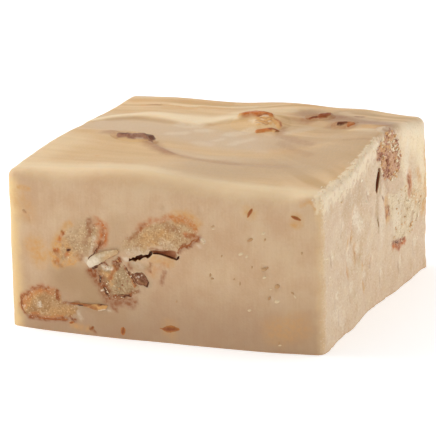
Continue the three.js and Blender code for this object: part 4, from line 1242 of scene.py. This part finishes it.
def thread_ring(path, half_width):
    """Outline of a thin edge along a path, narrower at its ends."""
    path = np.array(path, float)
    run = np.gradient(path, axis=0)
    aside = np.stack([-run[:, 1], run[:, 0]], axis=1) / np.linalg.norm(run, axis=1, keepdims=True)
    width = half_width * np.where(np.arange(len(path)) % (len(path) - 1) == 0, 0.3, 1.0)[:, None]
    return smooth_ring(np.vstack([path + width * aside, (path - width * aside)[::-1]]), THREAD_SPACING)


def skin_bit(ring, half_width, tone, rise):
    """One bit of skin that lies in the front and rises to its middle."""
    bit = outline_prism("skin_bit", ring, [(SKIN_ROOT, 0.9)])
    apply_modifier(bit, "REMESH", mode="VOXEL", voxel_size=max(0.07, 0.16 * half_width) * MM)
    points = points_of(bit)
    inside = inside_depth(points[:, :2], ring)
    out = points[:, 2] + rise * smooth_step(inside, 0.0, 0.9 * half_width)
    out += 0.4 * rise * crumble(points, (0.6, 0.3), SEED["skin_bit"])
    move_points(bit, on_side("front", points[:, 0], points[:, 1], out))
    paint(bit, "rim", inside / half_width)
    paint(bit, "tone", np.full(len(points), tone))
    return bit


def skin_flakes():
    """Small flakes of walnut skin, pits and grains in the front and the thin edges of skin, with two dark
    lines of painted shadow by the shaving among them, as one piece.
    """
    bits = []
    for *leaf, half_width, lean, tone in FLAKES:
        ring = leaf_ring(*leaf, half_width, lean)
        bits.append(skin_bit(ring, half_width, tone, FLAKE_RISE * half_width))
    for path, half_width, tone in THREADS:
        bits.append(skin_bit(thread_ring(path, half_width), half_width, tone, THREAD_RISE))
    return joined(bits, "skin_flakes")


# Crumbs on the kernels: how many lie within an outline, their least and largest radius, and how dark they
# get
CRUMBS = {
    "walnut_right_upper": (420, 0.14, 0.5, 1.0),
    "walnut_right_lower": (220, 0.12, 0.36, 0.55),
    "walnut_front_left": (60, 0.08, 0.18, 0.6),
    "walnut_front_core": (70, 0.1, 0.25, 0.9),
    **dict.fromkeys(("walnut_front_long", "walnut_front_low"), (40, 0.08, 0.18, 0.7)),
    **dict.fromkeys(("walnut_back_low", "walnut_back_high", "walnut_left_middle"), (40, 0.1, 0.2, 0.7)),
}
# Crumbs along the right rim: how many, and their least and largest radius
RIM_CRUMBS = 420
RIM_CRUMB_RADII = (0.08, 0.33)
# Crumbs on the right side are drawn out along it
PLAIN_CRUMB = np.array([1.0, 1.0, 1.0])
DRAWN_CRUMB = np.array([0.75, 1.9, 0.95])


def crumb_shape():
    """One uneven crumb of radius 1, as points and faces."""
    bpy.ops.object.select_all(action="DESELECT")
    bpy.ops.mesh.primitive_ico_sphere_add(subdivisions=2, radius=MM)
    lump = bpy.context.object
    points = points_of(lump)
    points *= 1 + 0.6 * cloud(points + 5.0, 0.6, SEED["crumb"])[:, None]
    faces = np.array([face.vertices[:] for face in lump.data.polygons])
    bpy.data.objects.remove(lump)
    return points, faces


def crumb_radii(least, largest, count, chance):
    """Radii of crumbs, most of them near the least."""
    return least + (largest - least) * chance.random(count) ** 2


def scattered(name, spots, radii, tones, drawn, chance):
    """Crumbs of given spots, sizes, tones and draws along the axes as one piece, each turned its own way."""
    shape, faces = crumb_shape()
    all_points, all_faces = [], []
    for count, (spot, radius, draw) in enumerate(zip(spots, radii, drawn)):
        turn = np.array(Matrix.Rotation(chance.uniform(0, 2 * math.pi), 3, chance.normal(size=3)))
        all_points.append(spot + radius * draw * ((shape * chance.uniform(0.5, 1.1, 3)) @ turn))
        all_faces.append(faces + count * len(shape))
    mesh = bpy.data.meshes.new(name)
    mesh.from_pydata(np.concatenate(all_points) * MM, [], np.concatenate(all_faces))
    piece = bpy.data.objects.new(name, mesh)
    bpy.context.scene.collection.objects.link(piece)
    paint(piece, "tone", np.repeat(tones, len(shape)))
    return piece


def walnut_crumbs():
    """Loose crumbs that the knife left on the kernels, of like tones where they lie together."""
    chance = np.random.default_rng(SEED["walnut_crumbs"])
    spots, radii, tones, drawn = [], [], [], []
    for node, (count, least, largest, darkest) in CRUMBS.items():
        side, outline = OUTLINES[node]
        ring = smooth_ring(outline, KERNEL_SPACING)
        places = chance.uniform(ring.min(axis=0), ring.max(axis=0), (6 * count, 2))
        places = places[inside_depth(places, ring) > 0.2][:count]
        size = crumb_radii(least, largest, len(places), chance)
        patches = cloud(flat_points(*places.T), 2.2, SEED["crumb_tones"])
        tone = 0.5 + 0.7 * patches + 0.2 * chance.normal(size=len(places))
        spots.append(on_side(side, *places.T, 0.05 * size))
        radii.append(size)
        tones.append(darkest * np.clip(tone, 0, 1))
        drawn.append(np.tile(DRAWN_CRUMB if side == "right" else PLAIN_CRUMB, (len(places), 1)))
    gathered = [np.concatenate(each) for each in (spots, radii, tones, drawn)]
    return scattered("walnut_crumbs", *gathered, chance)


def rim_crumbs(fudge):
    """Pale crumbs of fudge along the broken right rim, with a few down that side."""
    chance = np.random.default_rng(SEED["rim_crumbs"])
    points = points_of(fudge)
    facing = facing_of(fudge)
    likely = rim_whiteness(points) * (0.1 + np.maximum(cloud(points, 2.2, SEED["rim_patches"]), 0))
    likely += 0.002 * towards(facing)["right"] * (points[:, 2] > 2.0)
    picks = chance.choice(len(points), RIM_CRUMBS, p=likely / likely.sum())
    radii = crumb_radii(*RIM_CRUMB_RADII, RIM_CRUMBS, chance)
    spots = points[picks] - 0.5 * radii[:, None] * facing[picks] + chance.normal(0, 0.05, (RIM_CRUMBS, 3))
    tones = chance.random(RIM_CRUMBS)
    return scattered("rim_crumbs", spots, radii, tones, [DRAWN_CRUMB] * RIM_CRUMBS, chance)


def finish_piece(piece, slot, *nodes):
    choose(piece)
    bpy.ops.object.shade_smooth_by_angle(angle=PIECE_CREASE)
    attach(piece, "root")
    if nodes:
        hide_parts(*nodes)


def linear(code):
    """A colour for a socket from its usual six-figure code."""
    parts = [int(code[k:k + 2], 16) / 255 for k in (1, 3, 5)]
    return tuple(c / 12.92 if c <= 0.04045 else ((c + 0.055) / 1.055) ** 2.4 for c in parts) + (1.0,)


class Amount:
    """An output of a finish's nodes, so that sums on it read as plain expressions."""

    def __init__(self, finish, socket):
        self.finish = finish
        self.socket = socket

    def sum(self, operation, first, second):
        return self.finish.node("ShaderNodeMath", {"operation": operation}, {0: first, 1: second})

    def __add__(self, other):
        return self.sum("ADD", self, other)

    def __radd__(self, other):
        return self.sum("ADD", other, self)

    def __sub__(self, other):
        return self.sum("SUBTRACT", self, other)

    def __rsub__(self, other):
        return self.sum("SUBTRACT", other, self)

    def __mul__(self, other):
        return self.sum("MULTIPLY", self, other)

    def __rmul__(self, other):
        return self.sum("MULTIPLY", other, self)


class Finish:
    """A procedural material with one Principled shader."""

    def __init__(self, name):
        self.material = bpy.data.materials.new(name)
        self.material.use_nodes = True
        self.nodes = self.material.node_tree.nodes
        self.links = self.material.node_tree.links
        self.shader = next(node for node in self.nodes if node.type == "BSDF_PRINCIPLED")
        self.place = self.node("ShaderNodeTexCoord", output="Object")

    def node(self, kind, settings=None, inputs=None, output=0):
        node = self.nodes.new(kind)
        for name, value in (settings or {}).items():
            setattr(node, name, value)
        for name, value in (inputs or {}).items():
            self.feed(node.inputs[name], value)
        return Amount(self, node.outputs[output])

    def feed(self, socket, value):
        if isinstance(value, Amount):
            self.links.new(value.socket, socket)
        else:
            socket.default_value = value

    def set(self, **values):
        for name, value in values.items():
            self.feed(self.shader.inputs[name.replace("_", " ")], value)

    def mix(self, share, first, second):
        return self.node("ShaderNodeMix", {"data_type": "RGBA"}, {0: share, 6: first, 7: second}, 2)

    def step(self, value, low, high):
        inputs = {"Value": value, "From Min": low, "From Max": high}
        return self.node("ShaderNodeMapRange", {"interpolation_type": "SMOOTHSTEP"}, inputs)

    def lumps(self, size, detail=3.0, stretch=(1.0, 1.0, 1.0)):
        """Noise from 0 to 1 with lumps about as large as size in millimetres, drawn out by stretch."""
        inputs = {"Vector": self.place, "Scale": tuple(1.0 / s for s in stretch)}
        place = self.node("ShaderNodeMapping", {}, inputs)
        inputs = {"Vector": place, "Scale": 1.0 / (size * MM), "Detail": detail}
        return self.node("ShaderNodeTexNoise", {}, inputs)

    def layer(self, name):
        return self.node("ShaderNodeAttribute", {"attribute_name": name}, {}, "Fac")

    def bump(self, height, depth, strength=1.0):
        """Relief of a height from 0 to 1 that is depth millimetres deep."""
        inputs = {"Height": height, "Distance": depth * MM, "Strength": strength}
        self.feed(self.shader.inputs["Normal"], self.node("ShaderNodeBump", {}, inputs))

    def give(self, piece):
        piece.data.materials.clear()
        piece.data.materials.append(self.material)


# Colours of the fudge: the poured skin and the cut sides, each darkest and palest, then the painted shade at
# its foot, its crumbly grit, its broken rim, and the sides of its splits and the painted shade in their
# depths
FUDGE_SKIN = (linear("#c9a16d"), linear("#dfbb8c"))
FUDGE_CUT = (linear("#cba682"), linear("#d6b894"))
FOOT_SHADE = linear("#a38164")
DARK_GRIT = linear("#b9976f")
PALE_GRIT = linear("#f0e2cb")
BROKEN_RIM = linear("#f2dfbe")
SPLIT_SIDE = linear("#9c5626")
# painted shade deep in the splits
SPLIT_SHADE = linear("#763a1b")
# Colours of the marks
TINTS = {
    # glow: painted light, the glow seen along the slab's edges
    "glow": linear("#efcd92"),
    # A greyer, darker tan for the top's basin
    "grey_tan": linear("#cfb393"),
    # grey: greyer fudge, also used for painted shade
    "grey": linear("#b5936d"),
    # cream: cream colour, also used for painted highlights on the top
    "cream": linear("#f2dcb6"),
    "amber": linear("#d49f60"),
    "orange": linear("#c26e33"),
    # film: a filmed tint on the kernels, also used for painted shade on the top
    "film_and_shade": linear("#c6a57e"),
    # brown: brown skin and stains, also used for painted shade
    "brown": linear("#94522a"),
    # pale: pale flesh and streaks, also used for painted highlights, glints and the lit floors of pits
    "pale": linear("#ead9bf"),
    # dark: dark skin, also used for painted shade in a hole and under the shaving
    "dark": linear("#4e2510"),
}
# Tints laid on evenly, and those broken up by mottling
SMOOTH_TINTS = TINT_LAYERS[:4]
BROKEN_TINTS = TINT_LAYERS[4:-1]
# Colours of the flakes, and of the crumbs from their first to their last tone
FLAKE_COLOURS = {
    "grain": linear("#dac19a"),
    "pit": linear("#bd9365"),
    "skin_edge": linear("#c6813f"),
    "skin": linear("#9c5222"),
    # dark skin, also the colour of two lines of painted shadow by the shaving
    "dark_skin_and_shadow": linear("#45230f"),
}
WALNUT_CRUMB_COLOURS = ("#ecd8b4", "#d2a066", "#c79272", "#9c5c34")
FUDGE_CRUMB_COLOURS = ("#f6e6c8", "#f1dcb9", "#ead0a8", "#dcbb90")


def tinted(finish, colour, mottle):
    """A colour under every tint's marks, the stronger ones broken up by the mottle."""
    for layer in SMOOTH_TINTS:
        colour = finish.mix(finish.layer(layer), colour, TINTS[layer])
    for layer in BROKEN_TINTS:
        colour = finish.mix(finish.layer(layer) * (2.0 * mottle), colour, TINTS[layer])
    share = finish.step(finish.layer("dark") + 0.9 * (mottle - 0.5), 0.15, 0.8)
    return finish.mix(share, colour, TINTS["dark"])


def mottled(finish, size):
    """Uneven lumps with more contrast than plain noise, from 0 to 1."""
    return finish.step(finish.lumps(size, 4.0), 0.32, 0.68)


def fudge_colour(finish):
    """Poured skin and cut sides, paler where they crumble and darker with painted shade at the foot."""
    crumbly = finish.layer("crumbly")
    speckle = finish.lumps(0.5)
    flow = finish.lumps(8.0)
    skin = finish.mix(finish.step(finish.layer("streak") + 0.4 * (flow - 0.5), 0.1, 0.9), *FUDGE_SKIN)
    drags = finish.lumps(0.35, 2.0, (1.0, 1.0, 18.0))
    patches = flow + 0.5 * (finish.lumps(3.0) - 0.5) + 0.3 * (drags - 0.5)
    side = finish.mix(finish.step(patches + 0.3 * (speckle - 0.5), 0.2, 0.8), *FUDGE_CUT)
    colour = finish.mix(finish.layer("cut"), skin, side)
    colour = finish.mix(0.4 * crumbly * (0.3 + finish.lumps(2.0)), colour, TINTS["pale"])
    return finish.mix(0.6 * finish.layer("foot_shade") * (1 - crumbly), colour, FOOT_SHADE)


def split_colour(finish, colour):
    """A colour that turns red-brown inside the splits, and dark with painted shade deeper in."""
    colour = finish.mix(finish.layer("split"), colour, SPLIT_SIDE)
    return finish.mix(finish.layer("split_shade"), colour, SPLIT_SHADE)


def fudge_finish():
    """Fudge with its marks, its grit where it crumbles, its white rim and its splits."""
    finish = Finish("maple_fudge")
    crumbly = finish.layer("crumbly")
    speckle = finish.lumps(0.5)
    grit = finish.lumps(0.4)
    uneven = (0.15 + 0.3 * finish.layer("cut")) * (mottled(finish, 0.8) - 0.5)
    colour = tinted(finish, fudge_colour(finish), 0.5 + uneven)
    colour = finish.mix(0.4 * crumbly * finish.step(grit, 0.45, 0.3), colour, DARK_GRIT)
    colour = finish.mix(0.5 * crumbly * finish.step(grit, 0.55, 0.7), colour, PALE_GRIT)
    white = finish.step(finish.layer("whitened") * (0.4 + 1.2 * mottled(finish, 1.2)), 0.2, 0.8)
    colour = split_colour(finish, finish.mix(0.65 * white, colour, BROKEN_RIM))
    finish.set(Base_Color=colour, Roughness=0.38 + 0.2 * finish.layer("cut") + 0.15 * (speckle - 0.5))
    finish.set(Subsurface_Weight=0.3, Subsurface_Radius=(1.0, 0.65, 0.35), Subsurface_Scale=1.2 * MM)
    finish.set(Specular_IOR_Level=0.2)
    finish.bump(speckle + 1.5 * crumbly * finish.lumps(0.9, 4.0, (1.0, 1.0, 1.8)), 0.14, 0.5)
    return finish


def kernel_finish(name, flesh, fleck, roughness=0.5, shine=0.2, fade=0.8):
    """Walnut flesh, grainy, with pale specks and brown pores, that fades into the fudge at its rim."""
    finish = Finish(name)
    grain = finish.lumps(0.35)
    mottle = mottled(finish, 0.7)
    nut = finish.step(grain + 0.2 * finish.layer("relief"), 0.35, 0.65)
    cut = finish.layer("cut")
    bare = finish.step(finish.layer("rim") + (0.3 + 0.7 * cut) * (mottle - 0.5), 0.0, fade)
    colour = finish.mix(bare, fudge_colour(finish), finish.mix(nut, linear(flesh), linear(fleck)))
    colour = tinted(finish, colour, 0.5 + (0.2 + 0.3 * cut) * (mottle - 0.5))
    colour = finish.mix(cut * bare * (0.5 * finish.step(grain, 0.6, 0.7)), colour, TINTS["cream"])
    colour = finish.mix(cut * bare * (0.35 * finish.step(grain, 0.4, 0.3)), colour, TINTS["brown"])
    finish.set(Base_Color=colour, Specular_IOR_Level=shine)
    finish.set(Roughness=roughness + 0.3 * (grain - 0.5))
    finish.bump(grain, 0.15, 0.7)
    return finish


def flake_finish():
    """Pale grains, tan pits, thin skin that is orange at its edge and red-brown inside, and dark skin and
    painted shadow.
    """
    finish = Finish("skin_flake")
    speckle = finish.lumps(0.4)
    tone = finish.layer("tone")
    inner = finish.step(finish.layer("rim") + 0.6 * (speckle - 0.5), 0.1, 0.8)
    skin = finish.mix(inner, FLAKE_COLOURS["skin_edge"], FLAKE_COLOURS["skin"])
    colour = finish.mix(finish.step(tone, 0.1, 0.6), FLAKE_COLOURS["grain"], FLAKE_COLOURS["pit"])
    colour = finish.mix(finish.step(tone, 0.8, 1.1), colour, skin)
    colour = finish.mix(0.85 * finish.step(tone, 1.1, 2.0), colour, FLAKE_COLOURS["dark_skin_and_shadow"])
    finish.set(Base_Color=colour, Roughness=0.45 + 0.2 * (speckle - 0.5), Specular_IOR_Level=0.3)
    finish.bump(speckle, 0.1, 0.6)
    return finish


def crumb_finish(name, colours):
    """Crumbs of four colours, by their tone."""
    finish = Finish(name)
    speckle = finish.lumps(0.3)
    tone = finish.layer("tone") + 0.2 * (speckle - 0.5)
    colour = linear(colours[0])
    for step, code in zip((0.35, 0.6, 0.85), colours[1:]):
        colour = finish.mix(finish.step(tone, step - 0.04, step + 0.04), colour, linear(code))
    finish.set(Base_Color=colour, Roughness=0.45 + 0.3 * (speckle - 0.5), Specular_IOR_Level=0.45)
    finish.bump(speckle, 0.15, 0.8)
    return finish


def look_at(thing, target):
    way = Vector(target) - thing.location
    thing.rotation_euler = way.to_track_quat("-Z", "Y").to_euler()


# Studio: soft boxes as (place in mm, size in mm, watts)
SOFT_BOXES = {
    "top_light": ((-170, 100, 450), 420, 0.27),
    "key_light": ((-150, -10, 210), 150, 0.18),
    "right_light": ((200, 120, 110), 160, 0.088),
    "left_light": ((-260, -70, 110), 160, 0.15),
}
ROOM_LIGHT = 0.6
# The floor: its width in metres, its white, and how it glows near the slab and far off
FLOOR_WIDTH = 6.0
FLOOR_WHITE = (0.92, 0.92, 0.92, 1.0)
NEAR_GLOW = (0.36, 0.36, 0.36, 1.0)
FAR_GLOW = (0.55, 0.55, 0.55, 1.0)


def studio():
    """Soft lights, a white room and a pale floor."""
    scene = bpy.context.scene
    scene.view_settings.view_transform = "Standard"
    world = bpy.data.worlds.new("room")
    world.use_nodes = True
    world.node_tree.nodes["Background"].inputs["Color"].default_value = (1.0, 1.0, 1.0, 1.0)
    world.node_tree.nodes["Background"].inputs["Strength"].default_value = ROOM_LIGHT
    scene.world = world
    for name, (place, size, watts) in SOFT_BOXES.items():
        bpy.ops.object.light_add(type="AREA", location=[c * MM for c in place])
        light = bpy.context.object
        light.name = name
        light.data.size = size * MM
        light.data.energy = watts
        look_at(light, (0, 0, HEIGHT / 2 * MM))
    bpy.ops.object.select_all(action="DESELECT")
    bpy.ops.mesh.primitive_plane_add(size=FLOOR_WIDTH)
    floor = new_piece("floor")
    paper = Finish("white_floor")
    paper.set(Base_Color=FLOOR_WHITE, Roughness=0.8)
    away = paper.node("ShaderNodeVectorMath", {"operation": "LENGTH"}, {0: paper.place}, "Value")
    glow = paper.mix(paper.step(away, 0.1, 0.5), NEAR_GLOW, FAR_GLOW)
    paper.set(Emission_Color=glow, Emission_Strength=1.0)
    paper.give(floor)


# Camera: its roll in degrees, its distance and aim in millimetres, its lens
ROLL = -1.279
DISTANCE = 748.75
AIM_HEIGHT = 15.0
AIM_SHIFT = (-1.145, 1.216)
LENS = 302.8


def camera():
    """The camera at the angle that the slab is seen from."""
    roll = math.radians(ROLL)
    back = LEVEL.cross(UPRIGHT)
    right = math.cos(roll) * LEVEL + math.sin(roll) * UPRIGHT
    up = math.cos(roll) * UPRIGHT - math.sin(roll) * LEVEL
    place = Vector((0, 0, AIM_HEIGHT)) + AIM_SHIFT[0] * right + AIM_SHIFT[1] * up + DISTANCE * back
    turn = Matrix((right, up, back)).transposed().to_4x4()
    bpy.ops.object.camera_add()
    view = bpy.context.object
    view.matrix_world = Matrix.Translation(place * MM) @ turn
    view.data.lens = LENS
    view.data.clip_end = 20.0
    bpy.context.scene.camera = view


camera()
studio()

fudge = make_fudge()
fudge_finish().give(fudge)
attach(fudge, "root")
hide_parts("fudge_block")

KERNEL_FINISH = {
    "plain": kernel_finish("tan_walnut", "#b48a5e", "#c9a77c"),
    "walnut_front_core": kernel_finish("core_walnut", "#a98860", "#bd9f78"),
    "walnut_front_left": kernel_finish("filmed_walnut", "#b48f66", "#caa97f", fade=2.2),
    "walnut_front_low": kernel_finish("orange_walnut", "#a97f52", "#bd9568"),
    "walnut_right_upper": kernel_finish("crumbly_walnut", "#bb8760", "#d3a680"),
    "walnut_right_lower": kernel_finish("pale_walnut", "#d6bd97", "#e6d0ae"),
    "walnut_shaving": kernel_finish("walnut_sliver", "#c4a67e", "#d6bd98"),
    "walnut_skin_curl": kernel_finish("dark_walnut_skin", "#74452f", "#8f6248", 0.6, 0.1),
    "walnut_skin_strip": kernel_finish("tan_walnut_skin", "#a47848", "#b58a58", 0.4),
    "walnut_top_middle": kernel_finish("ridged_walnut", "#d09a5c", "#deb074", 0.35, 0.1),
    "walnut_top_left": kernel_finish("purple_walnut", "#8a6450", "#a37e68", 0.4, 0.06, 1.3),
    "walnut_top_back_left": kernel_finish("red_walnut", "#7e3a1a", "#904822", 0.4, 0.06, 1.4),
    "walnut_top_back_right": kernel_finish("dusky_walnut", "#8c5438", "#a86c44", 0.4, 0.06, 1.3),
}
slots = {part["node"]: part["material_slot"] for part in frame["record"]["subparts"]}
for makers, build in ((OUTLINES, cut_kernel), (THIN_OUTLINES, thin_piece)):
    for node, (side, outline) in makers.items():
        piece = build(node, side, outline)
        KERNEL_FINISH.get(node, KERNEL_FINISH["plain"]).give(piece)
        finish_piece(piece, slots[node], node)
for node in TOP_KERNELS:
    piece = top_kernel(node)
    KERNEL_FINISH[node].give(piece)
    finish_piece(piece, slots[node], node)
flakes = skin_flakes()
flake_finish().give(flakes)
finish_piece(flakes, "walnut_skin")
crumbs = walnut_crumbs()
crumb_finish("walnut_crumb", WALNUT_CRUMB_COLOURS).give(crumbs)
finish_piece(crumbs, "walnut")
rim = rim_crumbs(fudge)
crumb_finish("fudge_crumb", FUDGE_CRUMB_COLOURS).give(rim)
finish_piece(rim, "fudge")
